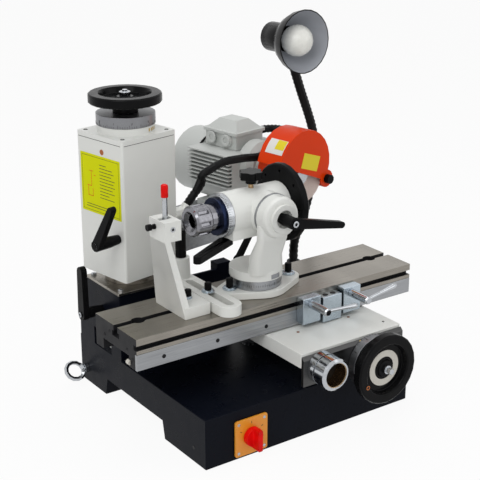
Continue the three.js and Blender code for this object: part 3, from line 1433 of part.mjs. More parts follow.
const grinder = new THREE.Group();
grinder.add(baseCasting(), pedestalPlate(), controlBoxPart(), chipGuardPart(), switchPlatePart(),
  switchKnobPart(), eyeboltPart(), crossWay());
grinder.add(saddleCasting(), apronPlate(), frontDialPart(), frontHandwheel(),
  crossScrewPart(), traversePinion(), traverseCollar());
grinder.add(tableSlab(), tableFrontPlate(), tableRack(),
  stopBlock('stop_block_left', stop.leftX), stopBlock('stop_block_right', stop.rightX),
  stopBlock('stop_block_middle', middleStop.x, middleStop),
  stopLever('stop_lever_left', stop.leftX, stop.leftTurn),
  stopLever('stop_lever_right', stop.rightX, stop.rightTurn));
grinder.add(headFlange(), swivelRingPart(), turretColumn(), spindleHousing(), workSpindle(),
  spindleDial(), colletNut(), indexPlatePart(), indexKnobPart(), ...Object.values(workHeadLevers()));
grinder.add(tailBody(), tailCentre(), tailScrew(), restArm(), restPost());

const { head: housingLeverMesh, foot: pillarLeverMesh } = headLevers();
const head = new THREE.Group();
head.position.set(column.x, column.y, 0);
head.rotation.z = THREE.MathUtils.degToRad(column.swivel);
head.add(pillarPart(), headHousing(), motorArmPart(), topDialPart(), topHandwheel(), liftScrewPart(),
  housingLeverMesh, motorBody(), fanCowl(), terminalBox(), conduitPart(), wheelSpindle(),
  grindingWheel(), wheelGuard(), guardKnobPart());
grinder.add(head, pillarLeverMesh);
grinder.add(lampBracket(), gooseneckPart(), lampShade(), lampBulb());

export default grinder;
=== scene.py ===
"""End mill grinder: finishes, small parts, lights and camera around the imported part."""

import json
import math

import bmesh
import bpy
from bpy.props import FloatProperty, FloatVectorProperty, IntProperty, PointerProperty
from mathutils import Matrix, Vector

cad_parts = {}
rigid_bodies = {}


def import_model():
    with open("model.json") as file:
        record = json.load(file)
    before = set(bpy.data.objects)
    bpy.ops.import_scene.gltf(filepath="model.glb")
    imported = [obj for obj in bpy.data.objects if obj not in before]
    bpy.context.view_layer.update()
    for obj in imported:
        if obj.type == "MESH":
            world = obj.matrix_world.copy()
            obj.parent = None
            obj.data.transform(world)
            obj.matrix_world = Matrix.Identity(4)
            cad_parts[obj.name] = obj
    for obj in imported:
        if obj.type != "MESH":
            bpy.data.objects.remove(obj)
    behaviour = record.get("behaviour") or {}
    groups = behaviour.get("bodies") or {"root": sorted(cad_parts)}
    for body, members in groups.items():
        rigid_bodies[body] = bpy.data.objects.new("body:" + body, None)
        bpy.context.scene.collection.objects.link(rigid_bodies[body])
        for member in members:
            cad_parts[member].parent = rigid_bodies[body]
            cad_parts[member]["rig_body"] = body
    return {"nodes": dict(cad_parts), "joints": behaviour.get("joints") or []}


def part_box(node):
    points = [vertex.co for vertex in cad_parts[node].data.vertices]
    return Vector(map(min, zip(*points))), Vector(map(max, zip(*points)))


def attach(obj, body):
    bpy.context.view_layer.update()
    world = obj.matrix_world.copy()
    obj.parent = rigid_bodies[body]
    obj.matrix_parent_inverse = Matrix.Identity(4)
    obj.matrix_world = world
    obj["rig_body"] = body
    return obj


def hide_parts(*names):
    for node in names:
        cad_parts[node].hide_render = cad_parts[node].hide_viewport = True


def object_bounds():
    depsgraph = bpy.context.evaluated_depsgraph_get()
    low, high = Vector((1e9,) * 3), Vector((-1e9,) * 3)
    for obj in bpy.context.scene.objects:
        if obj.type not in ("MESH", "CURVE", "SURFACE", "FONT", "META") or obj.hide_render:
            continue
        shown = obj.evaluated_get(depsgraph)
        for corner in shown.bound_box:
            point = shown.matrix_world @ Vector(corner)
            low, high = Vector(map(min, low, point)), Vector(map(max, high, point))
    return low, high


bl_info = {
    "name": "End mill grinder",
    "version": (1, 0, 0),
    "blender": (4, 5, 0),
    "location": "View3D > Sidebar > Grinder",
    "description": "Builds the looks of an end mill grinder around its packed part",
    "category": "Object",
}

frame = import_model()
cad_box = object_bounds()

MM = 0.001
UP = Vector((0, 0, 1))
LEFT = Vector((-1, 0, 0))
RIGHT = Vector((1, 0, 0))
FRONT = Vector((0, -1, 0))
BACK = Vector((0, 1, 0))
SHARP_ANGLE = math.radians(38)
FLAT_ANGLE = math.radians(0.5)
SMALL_SIDES = 24
HOLE_SIDES = 20


def mm(*values):
    """Millimetres to metres, as one number or as a point."""
    if len(values) == 1:
        return values[0] * MM
    return Vector(values) * MM


def colour(name, red, green, blue):
    """A colour property whose default is written as the display's own values, 0 to 255."""
    linear = [channel_to_linear(value / 255) for value in (red, green, blue)]
    return FloatVectorProperty(
        name=name, description=f"Colour of the {name.lower()}", subtype="COLOR", size=3,
        min=0, max=1, default=linear)


def channel_to_linear(value):
    if value <= 0.04045:
        return value / 12.92
    return ((value + 0.055) / 1.055) ** 2.4


def length(name, description, millimetres):
    """A length property, kept in metres."""
    return FloatProperty(
        name=name, description=description, default=millimetres * MM, min=0,
        subtype="DISTANCE", unit="LENGTH")


class GrinderColours(bpy.types.PropertyGroup):
    """Colours of the paints, metals and plastics."""

    white_paint: colour("White enamel", 229, 230, 226)
    grey_paint: colour("Motor paint", 200, 203, 200)
    black_paint: colour("Base paint", 15, 18, 27)
    orange_paint: colour("Guard paint", 232, 62, 4)
    ground_steel: colour("Ground steel", 152, 147, 139)
    satin_steel: colour("Satin steel", 158, 160, 163)
    chrome: colour("Chrome", 182, 185, 189)
    blued_steel: colour("Blued steel", 34, 42, 66)
    black_plastic: colour("Black plastic", 12, 12, 13)
    rubber: colour("Hose plastic", 14, 14, 15)
    red_plastic: colour("Red plastic", 205, 8, 8)
    yellow_plate: colour("Yellow plate", 222, 226, 6)
    switch_plate: colour("Switch plate", 240, 158, 40)
    ivory: colour("Ivory ring", 214, 210, 200)
    copper: colour("Copper", 170, 104, 66)
    bronze: colour("Bronze", 196, 166, 128)
    brass: colour("Brass", 196, 168, 96)
    abrasive: colour("Grinding wheel", 224, 206, 198)
    bulb: colour("Frosted glass", 240, 240, 234)
    # Painted shade: the lamp shade's white inside, greyed
    shade_inside: colour("Lamp's inside, painted shade", 172, 175, 182)
    plate_steel: colour("Apron steel", 84, 84, 84)
    dial_steel: colour("Dial steel", 134, 135, 138)
    dark_chrome: colour("Dark chrome", 134, 134, 139)
    # Painted shade between the motor's fins and round the terminal box's glands
    gap_grey: colour("Motor's painted shade", 84, 87, 86)
    zinc: colour("Zinc plate", 176, 187, 196)
    # Also painted shade: the dark discs that stand for the insides of holes and sockets
    ink: colour("Engraved marks", 26, 26, 28)
    label: colour("Bare label", 236, 234, 230)
    guard_label: colour("Guard label", 236, 214, 22)


class GrinderSizes(bpy.types.PropertyGroup):
    """Sizes of the small parts that the scene adds to the frame."""

    edge: length("Edge round", "Round along the edges of castings and plates", 0.8)
    fine_edge: length("Fine edge", "Round along the edges of small parts", 0.35)
    sheet: length("Sheet thickness", "Thickness of labels, plates and rings", 0.5)
    clearance: length("Clearance", "How far a laid-on part sinks into what carries it", 0.1)
    bolt: length("Clamp bolt", "Width across the clamp bolt's sleeve", 11)
    screw: length("Screw", "Radius of a screw head on a casting", 3.4)
    mark: length("Mark width", "Width of an engraved mark", 0.45)
    sides: IntProperty(name="Round sides", description="Faces around a turned part", default=48, min=12)


class GrinderStage(bpy.types.PropertyGroup):
    """Camera, lamps and floor."""

    camera: FloatVectorProperty(
        name="Camera place", description="Where the camera stands", size=3,
        subtype="TRANSLATION", unit="LENGTH", default=(-1.0168, -1.3043, 0.8915))
    azimuth: FloatProperty(
        name="Camera azimuth", description="Turn of the camera about the vertical",
        subtype="ANGLE", unit="ROTATION", default=math.radians(-35.2476))
    elevation: FloatProperty(
        name="Camera elevation", description="Height of the camera as an angle",
        subtype="ANGLE", unit="ROTATION", default=math.radians(19.7632))
    lens: FloatProperty(name="Lens", description="Focal length", default=88.49, subtype="DISTANCE_CAMERA")
    key: FloatProperty(name="Key light", description="Power of the key lamp", default=19, unit="POWER")
    fill: FloatProperty(name="Fill light", description="Power of the fill lamp", default=6.5, unit="POWER")
    top: FloatProperty(name="Top light", description="Power of the top lamp", default=15, unit="POWER")
    ambient: FloatProperty(name="Room light", description="Strength of the room's light", default=0.4)
    floor_white: FloatProperty(
        name="Floor white", description="How white the floor is seen, next to its shadow", default=0.93)
    floor: FloatProperty(
        name="Floor size", description="Width of the floor", default=40, subtype="DISTANCE", unit="LENGTH")


def colours():
    return bpy.context.scene.grinder_colours


def sizes():
    return bpy.context.scene.grinder_sizes


def joint(name):
    """Place and direction of one of the frame's joints."""
    found = next(item for item in frame["joints"] if item["name"] == name)
    return Vector(found.get("pos_m", (0, 0, 0))), Vector(found["axis"]).normalized()


# Node trees of the finishes

def start_finish(name):
    made = bpy.data.materials.new(name)
    made.use_nodes = True
    tree = made.node_tree
    shader = next(node for node in tree.nodes if node.type == "BSDF_PRINCIPLED")
    return made, tree, shader


def object_coordinates(tree, stretch=(1, 1, 1)):
    coordinates = tree.nodes.new("ShaderNodeTexCoord")
    mapping = tree.nodes.new("ShaderNodeMapping")
    mapping.inputs["Scale"].default_value = stretch
    tree.links.new(coordinates.outputs["Object"], mapping.inputs["Vector"])
    return mapping.outputs["Vector"]


def cloud(tree, scale, detail=3, stretch=(1, 1, 1), roughness=0.5):
    """Noise between 0 and 1 at so many waves a metre."""
    texture = tree.nodes.new("ShaderNodeTexNoise")
    texture.inputs["Scale"].default_value = scale
    texture.inputs["Detail"].default_value = detail
    texture.inputs["Roughness"].default_value = roughness
    tree.links.new(object_coordinates(tree, stretch), texture.inputs["Vector"])
    return texture.outputs["Fac"]


def ranged(tree, value, low, high, start=0.3, end=0.7):
    node = tree.nodes.new("ShaderNodeMapRange")
    node.inputs["From Min"].default_value = start
    node.inputs["From Max"].default_value = end
    node.inputs["To Min"].default_value = low
    node.inputs["To Max"].default_value = high
    tree.links.new(value, node.inputs["Value"])
    return node.outputs["Result"]


def mixed(tree, factor, first, second):
    """A colour between two, each given as a colour or as another node's output."""
    node = tree.nodes.new("ShaderNodeMix")
    node.data_type = "RGBA"
    for socket, value in ((node.inputs[0], factor), (node.inputs[6], first), (node.inputs[7], second)):
        if isinstance(value, bpy.types.NodeSocket):
            tree.links.new(value, socket)
        elif isinstance(value, (int, float)):
            socket.default_value = value
        else:
            socket.default_value = (*value, 1)
    return node.outputs[2]


def bumped(tree, shader, height, distance, strength=1.0, round_edge=0.0):
    """Bump from a height, over edges that the shader rounds by a small radius."""
    node = tree.nodes.new("ShaderNodeBump")
    node.inputs["Strength"].default_value = strength
    node.inputs["Distance"].default_value = distance
    tree.links.new(height, node.inputs["Height"])
    if round_edge:
        edge = tree.nodes.new("ShaderNodeBevel")
        edge.samples = 4
        edge.inputs["Radius"].default_value = round_edge
        tree.links.new(edge.outputs["Normal"], node.inputs["Normal"])
    tree.links.new(node.outputs["Normal"], shader.inputs["Normal"])


def scaled(rgb, factor):
    return [min(1.0, value * factor) for value in rgb]


def enamel(name, rgb, roughness=0.3, peel=0.00006, grime=0.9, edge=0.0006, coat=0.25, specular=0.5):
    """Sprayed paint: slight mottling, orange peel, a clear gloss and soft edges."""
    made, tree, shader = start_finish(name)
    mottle = cloud(tree, scale=9, detail=4)
    fine = cloud(tree, scale=60, detail=3)
    base = mixed(tree, ranged(tree, mottle, 0, 1), scaled(rgb, grime), rgb)
    base = mixed(tree, ranged(tree, fine, 0, 0.25), base, scaled(rgb, 1.03))
    tree.links.new(base, shader.inputs["Base Color"])
    tree.links.new(ranged(tree, fine, roughness - 0.05, roughness + 0.07), shader.inputs["Roughness"])
    shader.inputs["Coat Weight"].default_value = coat
    shader.inputs["Coat Roughness"].default_value = 0.12
    shader.inputs["Specular IOR Level"].default_value = specular
    bumped(tree, shader, cloud(tree, scale=420, detail=2), peel, 0.6, edge)
    return made


def ground(name, rgb, roughness=0.32, bands=0.35, edge=0.0004):
    """Ground metal: fine lines along X, with broad tone changes where the wheel passed."""
    made, tree, shader = start_finish(name)
    lines = cloud(tree, scale=900, detail=2, stretch=(0.02, 1, 1))
    strip = cloud(tree, scale=14, detail=3, stretch=(1, 0.25, 1))
    tone = mixed(tree, ranged(tree, lines, 0, 1), scaled(rgb, 0.82), scaled(rgb, 1.12))
    tone = mixed(tree, ranged(tree, strip, 0, bands, 0.45, 0.62), tone, scaled(rgb, 0.62))
    tree.links.new(tone, shader.inputs["Base Color"])
    tree.links.new(ranged(tree, lines, roughness - 0.06, roughness + 0.1), shader.inputs["Roughness"])
    shader.inputs["Metallic"].default_value = 1
    bumped(tree, shader, lines, 0.00002, 0.5, edge)
    return made


def turned_metal(name, rgb, roughness=0.28, grain=700, dark=0.8, edge=0.0004):
    """Machined metal with a fine even grain and a little staining."""
    made, tree, shader = start_finish(name)
    fine = cloud(tree, scale=grain, detail=3)
    stain = cloud(tree, scale=26, detail=4)
    tone = mixed(tree, ranged(tree, fine, 0, 1), scaled(rgb, dark), scaled(rgb, 1.06))
    tone = mixed(tree, ranged(tree, stain, 0, 0.3, 0.5, 0.75), tone, scaled(rgb, 0.7))
    tree.links.new(tone, shader.inputs["Base Color"])
    tree.links.new(ranged(tree, fine, roughness - 0.05, roughness + 0.08), shader.inputs["Roughness"])
    shader.inputs["Metallic"].default_value = 1
    bumped(tree, shader, fine, 0.000015, 0.5, edge)
    return made


def moulded(name, rgb, roughness=0.38, grain=900, depth=0.00003, edge=0.0006, coat=0.0, specular=0.3):
    """Moulded plastic with a fine skin grain."""
    made, tree, shader = start_finish(name)
    grain_height = cloud(tree, scale=grain, detail=2)
    wear = cloud(tree, scale=40, detail=4)
    tone = mixed(tree, ranged(tree, wear, 0, 1), rgb, scaled(rgb, 1.5))
    tree.links.new(tone, shader.inputs["Base Color"])
    tree.links.new(ranged(tree, wear, roughness - 0.06, roughness + 0.1), shader.inputs["Roughness"])
    shader.inputs["Coat Weight"].default_value = coat
    shader.inputs["Coat Roughness"].default_value = 0.1
    shader.inputs["Specular IOR Level"].default_value = specular
    bumped(tree, shader, grain_height, depth, 0.6, edge)
    return made


def bonded_grit(name, rgb):
    """Abrasive grains in a bond: speckled, matte and rough."""
    made, tree, shader = start_finish(name)
    grains = cloud(tree, scale=1500, detail=4, roughness=0.8)
    tone = mixed(tree, ranged(tree, grains, 0, 1), scaled(rgb, 0.7), scaled(rgb, 1.1))
    tree.links.new(tone, shader.inputs["Base Color"])
    shader.inputs["Roughness"].default_value = 0.9
    bumped(tree, shader, grains, 0.0003, 0.8)
    return made


def frosted(name, rgb):
    """Frosted glass of a bulb, milky with a soft skin."""
    made, tree, shader = start_finish(name)
    milk = cloud(tree, scale=120, detail=2)
    tone = mixed(tree, ranged(tree, milk, 0, 1), scaled(rgb, 0.94), rgb)
    tree.links.new(tone, shader.inputs["Base Color"])
    tree.links.new(ranged(tree, milk, 0.22, 0.32), shader.inputs["Roughness"])
    shader.inputs["Subsurface Weight"].default_value = 0.3
    shader.inputs["Subsurface Radius"].default_value = (0.01, 0.01, 0.01)
    shader.inputs["Subsurface Scale"].default_value = 0.5
    return made


# How each finish is made: its maker, its material's name, its colour, and what differs from the usual
RECIPES = {
    "white_paint": (enamel, "white_enamel", "white_paint", {
        "roughness": 0.34, "grime": 0.975, "coat": 0.1}),
    "grey_paint": (enamel, "motor_enamel", "grey_paint", {
        "roughness": 0.42, "peel": 0.0001, "grime": 0.95, "coat": 0.05}),
    "black_paint": (enamel, "base_enamel", "black_paint", {
        "roughness": 0.3, "peel": 0.00005, "grime": 0.75, "coat": 0, "specular": 0.05}),
    "shade_paint": (enamel, "lamp_enamel", "black_plastic", {
        "roughness": 0.22, "peel": 0.00002, "grime": 0.8, "coat": 0, "specular": 0.08}),
    # Painted shade: the lamp shade's white inside, in a grey
    "inner_shaded_paint": (enamel, "lamp_inner_enamel", "shade_inside", {
        "roughness": 0.4, "peel": 0.00002, "grime": 0.9, "coat": 0, "specular": 0.2}),
    "orange_paint": (enamel, "guard_enamel", "orange_paint", {
        "roughness": 0.34, "peel": 0.00007, "grime": 0.93, "coat": 0.03, "specular": 0.12}),
    "yellow_plate": (enamel, "yellow_plate", "yellow_plate", {
        "roughness": 0.5, "peel": 0.00001, "grime": 0.97, "coat": 0, "specular": 0.08}),
    "switch_plate": (enamel, "switch_plate", "switch_plate", {
        "roughness": 0.4, "peel": 0.00001, "grime": 0.92, "coat": 0.1}),
    "ivory": (enamel, "ivory", "ivory", {"roughness": 0.4, "peel": 0.00001, "grime": 0.93, "coat": 0.1}),
    "label": (enamel, "bare_label", "label", {
        "roughness": 0.5, "peel": 0.00001, "grime": 0.95, "coat": 0}),
    "guard_label": (enamel, "guard_label", "guard_label", {
        "roughness": 0.5, "peel": 0.00001, "grime": 0.96, "coat": 0}),
    "ground_steel": (ground, "ground_steel", "ground_steel", {}),
    "slide_steel": (ground, "slide_steel", "satin_steel", {"roughness": 0.35, "bands": 0.15}),
    "plate_steel": (ground, "plate_steel", "plate_steel", {"roughness": 0.35, "bands": 0.2}),
    "satin_steel": (turned_metal, "satin_steel", "satin_steel", {"roughness": 0.34}),
    "bright_steel": (turned_metal, "bright_steel", "chrome", {"roughness": 0.2, "grain": 900}),
    "chrome": (turned_metal, "chrome", "chrome", {
        "roughness": 0.12, "grain": 300, "dark": 0.9, "edge": 0.0005}),
    "dark_chrome": (turned_metal, "dark_chrome", "dark_chrome", {
        "roughness": 0.14, "grain": 300, "dark": 0.8, "edge": 0.0005}),
    "dial_steel": (turned_metal, "dial_steel", "dial_steel", {
        "roughness": 0.34, "grain": 900, "dark": 0.88}),
    "zinc": (turned_metal, "zinc", "zinc", {"roughness": 0.24, "grain": 1200, "dark": 0.93}),
    "blued_steel": (turned_metal, "blued_steel", "blued_steel", {"roughness": 0.3}),
    "copper": (turned_metal, "copper", "copper", {"roughness": 0.3}),
    "bronze": (turned_metal, "bronze", "bronze", {"roughness": 0.22}),
    "brass": (turned_metal, "brass", "brass", {"roughness": 0.3}),
    "black_plastic": (moulded, "black_plastic", "black_plastic", {"roughness": 0.36, "specular": 0.06}),
    "gloss_black": (moulded, "gloss_black", "black_plastic", {
        "roughness": 0.18, "grain": 500, "depth": 0.00001, "specular": 0.07}),
    # Dark iron of screws and of the table's ends, and painted shade in the table's recesses and the
    # collar's bore
    "dark_iron": (moulded, "dark_iron", "ink", {
        "roughness": 0.5, "grain": 500, "depth": 0.0001, "specular": 0.15}),
    "rubber": (moulded, "hose_plastic", "rubber", {
        "roughness": 0.5, "grain": 1200, "depth": 0.00005, "specular": 0.12}),
    # Painted shade for the motor's fin gaps and gland rims
    "gap_grey": (moulded, "gap_grey", "gap_grey", {"roughness": 0.6}),
    "red_plastic": (moulded, "red_plastic", "red_plastic", {
        "roughness": 0.3, "coat": 0.04, "specular": 0.12}),
    # Ink of marks and print, and painted shade in the mouths of holes and sockets
    "ink": (moulded, "ink", "ink", {"roughness": 0.6, "grain": 900, "depth": 0.00001}),
    "abrasive": (bonded_grit, "bonded_grit", "abrasive", {}),
    "bulb": (frosted, "frosted_glass", "bulb", {}),
}
FINISHES = {}


def finish(name):
    """One of this object's finishes, made when it is first asked for."""
    if name not in FINISHES:
        maker, title, shade, settings = RECIPES[name]
        FINISHES[name] = maker(title, getattr(colours(), shade), **settings)
    return FINISHES[name]


# Meshes of turned, cut and laid-on parts

def placed(point, direction=UP, turn=0.0):
    """Takes a shape made about +Z at the origin to a point, facing a direction."""
    toward = Vector(direction).normalized()
    facing = toward.to_track_quat("Z", "Y").to_matrix().to_4x4()
    return Matrix.Translation(point) @ facing @ Matrix.Rotation(turn, 4, "Z")


def fitted(point, side, up):
    """Takes a flat shape, X along side and Y along up, to a point."""
    side = Vector(side).normalized()
    up = Vector(up).normalized()
    out = side.cross(up)
    basis = Matrix((side, up, out)).transposed().to_4x4()
    return Matrix.Translation(point) @ basis


def round_edges(item, radius):
    bevel = item.modifiers.new("edges", "BEVEL")
    bevel.width = radius
    bevel.segments = 2
    bevel.limit_method = "ANGLE"
    bevel.angle_limit = SHARP_ANGLE
    bevel.use_clamp_overlap = True
    weighted = item.modifiers.new("normals", "WEIGHTED_NORMAL")
    weighted.keep_sharp = True


def add_piece(name, shape, finish_name, body, place=None, radius=0.0):
    """Makes an object of a bmesh, gives it a finish and lets it ride on a body."""
    bmesh.ops.recalc_face_normals(shape, faces=shape.faces)
    mesh = bpy.data.meshes.new(name)
    shape.to_mesh(mesh)
    shape.free()
    if place is not None:
        mesh.transform(place)
    mesh.shade_smooth()
    mesh.set_sharp_from_angle(angle=SHARP_ANGLE)
    item = bpy.data.objects.new(name, mesh)
    bpy.context.scene.collection.objects.link(item)
    mesh.materials.append(finish(finish_name))
    if radius:
        round_edges(item, radius)
    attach(item, body)
    return item


def join_rings(shape, rings, closed=False):
    """Faces between rings of points; a ring of one point is a tip on the axis."""
    pairs = list(zip(rings, rings[1:]))
    if closed:
        pairs.append((rings[-1], rings[0]))
    sides = max(len(ring) for ring in rings)
    for low, high in pairs:
        for index in range(sides):
            following = (index + 1) % sides
            corners = [low[index % len(low)], low[following % len(low)],
                       high[following % len(high)], high[index % len(high)]]
            corners = list(dict.fromkeys(corners))
            if len(corners) > 2:
                shape.faces.new(corners)


def turned(profile, closed=False, sides=None):
    """A shape of revolution about +Z from (radius, height) points."""
    sides = sides or sizes().sides
    shape = bmesh.new()
    rings = []
    for radius, height in profile:
        if radius == 0:
            rings.append([shape.verts.new((0, 0, height))])
            continue
        angles = [2 * math.pi * index / sides for index in range(sides)]
        rings.append([shape.verts.new((radius * math.cos(a), radius * math.sin(a), height))
                      for a in angles])
    join_rings(shape, rings, closed)
    return shape


def disc(radius, height, sides=None):
    return turned([(0, 0), (radius, 0), (radius, height), (0, height)], sides=sides)


def ring(inner, outer, height):
    return turned([(inner, 0), (outer, 0), (outer, height), (inner, height)], closed=True)


def extruded(outline, height):
    """A flat outline in X and Y, thickened along +Z."""
    shape = bmesh.new()
    low = [shape.verts.new((x, y, 0)) for x, y in outline]
    high = [shape.verts.new((x, y, height)) for x, y in outline]
    shape.faces.new(low)
    shape.faces.new(high)
    for index in range(len(outline)):
        following = (index + 1) % len(outline)
        shape.faces.new((low[index], low[following], high[following], high[index]))
    return shape


def rounded_outline(width, height, radius, steps=5):
    points = []
    for x, y, start in ((1, 1, 0), (-1, 1, 90), (-1, -1, 180), (1, -1, 270)):
        for step in range(steps + 1):
            angle = math.radians(start + 90 * step / steps)
            points.append((x * (width / 2 - radius) + radius * math.cos(angle),
                           y * (height / 2 - radius) + radius * math.sin(angle)))
    return points


def bar_outline(width, height):
    return [(-width / 2, -height / 2), (width / 2, -height / 2),
            (width / 2, height / 2), (-width / 2, height / 2)]


def hexagon(across, height, chamfer):
    """A bolt head with its corners turned off."""
    radius = across / math.sqrt(3)
    return turned([(0, 0), (radius, 0), (radius, height - chamfer),
                   (radius - chamfer * 1.6, height), (0, height)], sides=6)


def joined(parts):
    """Puts several placed shapes into one bmesh."""
    shape = bmesh.new()
    for part, place in parts:
        bmesh.ops.recalc_face_normals(part, faces=part.faces)
        mesh = bpy.data.meshes.new("part")
        part.to_mesh(mesh)
        part.free()
        mesh.transform(place)
        shape.from_mesh(mesh)
        bpy.data.meshes.remove(mesh)
    return shape


# The frame's own nodes, refined

def refined(node):
    """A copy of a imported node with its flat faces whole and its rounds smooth."""
    shape = bmesh.new()
    shape.from_mesh(frame["nodes"][node].data)
    bmesh.ops.remove_doubles(shape, verts=shape.verts, dist=MM / 100)
    bmesh.ops.dissolve_limit(shape, angle_limit=FLAT_ANGLE, verts=shape.verts, edges=shape.edges)
    return shape


def body_of(node):
    return frame["nodes"][node]["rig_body"]


def dress(node, finish_name, radius=0.0):
    """Stands a refined copy of a node in its place, with edges rounded where a radius is given."""
    item = add_piece(f"{node}_skin", refined(node), finish_name, body_of(node), radius=radius)
    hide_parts(node)
    return item


def paint_node(node, finish_name):
    """Gives a node that stays hidden or plain its finish."""
    item = frame["nodes"][node]
    item.data.materials.clear()
    item.data.materials.append(finish(finish_name))


# Small parts that come many times

def clamp_bolt(name, body, foot, washer, height):
    """Clamp bolt of the T-slot: a washer, a flanged nut and a black sleeve."""
    size = sizes()
    bore = size.bolt * 0.3
    nut = washer * 0.86
    washer_top = mm(1.6)
    nut_foot = mm(1.9)
    flange_top = mm(3.4)
    crown = mm(3.8)
    washers = turned([
        (bore, 0), (washer, 0), (washer, washer_top), (washer * 0.94, nut_foot), (nut, nut_foot),
        (nut, flange_top), (washer * 0.8, crown), (bore, crown)], closed=True)
    add_piece(f"{name}_washers", washers, "zinc", body, placed(foot))
    half = size.bolt / 2
    chamfer = mm(1)
    sleeve_foot = mm(3.6)
    sleeve = turned([(0, 0), (half, 0), (half, height - chamfer), (half - chamfer, height), (0, height)],
                    sides=SMALL_SIDES)
    add_piece(f"{name}_sleeve", sleeve, "black_plastic", body, placed(foot + UP * sleeve_foot))
    # The bolt's hex socket is a dark disc: painted shade in place of its recess
    socket = disc(mm(2.6), mm(0.4), sides=6)
    socket_foot = height + mm(3.5)
    add_piece(f"{name}_socket", socket, "ink", body, placed(foot + UP * socket_foot))


def socket_screw(name, body, point, direction, radius, finish_name="dark_iron", proud=0.4):
    """A cap screw let into a surface, with a round socket."""
    socket = radius * 0.5
    top = mm(proud)
    edge = mm(proud - 0.3)
    floor = mm(-0.8)
    foot = mm(-1.2)
    head = turned([
        (0, floor), (socket * 0.9, floor), (socket, top), (radius * 0.9, top),
        (radius, edge), (radius, foot), (0, foot)], sides=SMALL_SIDES)
    return add_piece(name, head, finish_name, body, placed(point, direction))


def slotted_screw(name, body, point, direction, radius, finish_name="copper", turn=0.4):
    """A flat screw with its slot across: two halves of a head on a thin floor."""
    half = radius * 0.16
    proud = mm(0.4)
    floor = disc(radius * 0.98, mm(0.15), sides=HOLE_SIDES)
    steps = 10
    start = math.asin(half / radius)
    parts = []
    for side in (-1, 1):
        points = []
        for step in range(steps + 1):
            angle = start + (math.pi - 2 * start) * step / steps
            points.append((radius * math.cos(angle), side * radius * math.sin(angle)))
        parts.append((extruded(points, proud), Matrix.Identity(4)))
    parts.append((floor, Matrix.Identity(4)))
    return add_piece(name, joined(parts), finish_name, body, placed(point, direction, turn))


def dark_hole(name, body, point, direction, radius, finish_name="ink", depth=0.3, sides=None):
    """The mouth of a bored hole, laid on as a thin dark disc: painted shade for the hole's depth."""
    return add_piece(name, disc(radius, mm(depth), sides), finish_name, body, placed(point, direction))


def marks_around(name, body, centre, axis, radius, count, along):
    """Engraved marks on a turned edge, every fifth one long, running along the axis."""
    depth = mm(0.2)
    long_share = 1.6
    basis = placed(centre, axis)
    parts = []
    for index in range(count):
        tall = along * (long_share if index % 5 == 0 else 1)
        mark = extruded(bar_outline(depth, sizes().mark), tall)
        turn = Matrix.Rotation(2 * math.pi * index / count, 4, "Z")
        parts.append((mark, basis @ turn @ Matrix.Translation((radius, 0, 0))))
    return add_piece(name, joined(parts), "ink", body)


DIGIT_STROKES = {
    "0": "abcdef", "1": "bc", "2": "abged", "3": "abgcd", "4": "fgbc", "5": "afgcd",
    "6": "afgedc", "7": "abc", "8": "abcdefg", "9": "abcdfg",
}
STROKE_PLACES = {
    "a": (0, 1, 1, 0), "b": (0.5, 0.5, 0, 1), "c": (0.5, -0.5, 0, 1), "d": (0, -1, 1, 0),
    "e": (-0.5, -0.5, 0, 1), "f": (-0.5, 0.5, 0, 1), "g": (0, 0, 1, 0),
}


def digits(text, height):
    """Plain dial figures built of short strokes, centred on the origin."""
    half = height / 2
    line = height * 0.16
    pitch = height * 0.8
    parts = []
    for place, figure in enumerate(text):
        shift = (place - (len(text) - 1) / 2) * pitch
        for stroke in DIGIT_STROKES[figure]:
            x, y, across, along = STROKE_PLACES[stroke]
            wide = half * 0.9 if across else line
            tall = half if along else line
            outline = bar_outline(wide + line * across * 0.2, tall + line * along)
            spot = (shift + x * half * 0.9, y * half, 0)
            parts.append((extruded(outline, mm(0.15)), Matrix.Translation(spot)))
    return parts


def figures_around(name, body, centre, axis, radius, labels, height, rise):
    """Dial figures standing on a turned edge."""
    basis = placed(centre, axis)
    upright = Matrix(((0, 0, 1, 0), (1, 0, 0, 0), (0, 1, 0, 0), (0, 0, 0, 1)))
    parts = []
    for index, label in enumerate(labels):
        turn = Matrix.Rotation(2 * math.pi * index / len(labels), 4, "Z")
        seat = basis @ turn @ Matrix.Translation((radius, 0, rise))
        for part, place in digits(label, height):
            parts.append((part, seat @ upright @ place))
    return add_piece(name, joined(parts), "ink", body)


class GrinderOperator:
    """What every building step shares."""

    bl_options = {"REGISTER", "UNDO"}

    def execute(self, context):
        self.build()
        return {"FINISHED"}


def seen_by_eye(tree):
    """1 for rays of the camera, and for those that a gloss or a glass sends on."""
    path = tree.nodes.new("ShaderNodeLightPath")
    seen = path.outputs["Is Camera Ray"]
    for output in ("Is Glossy Ray", "Is Transmission Ray"):
        either = tree.nodes.new("ShaderNodeMath")
        either.operation = "MAXIMUM"
        tree.links.new(seen, either.inputs[0])
        tree.links.new(path.outputs[output], either.inputs[1])
        seen = either.outputs[0]
    return seen


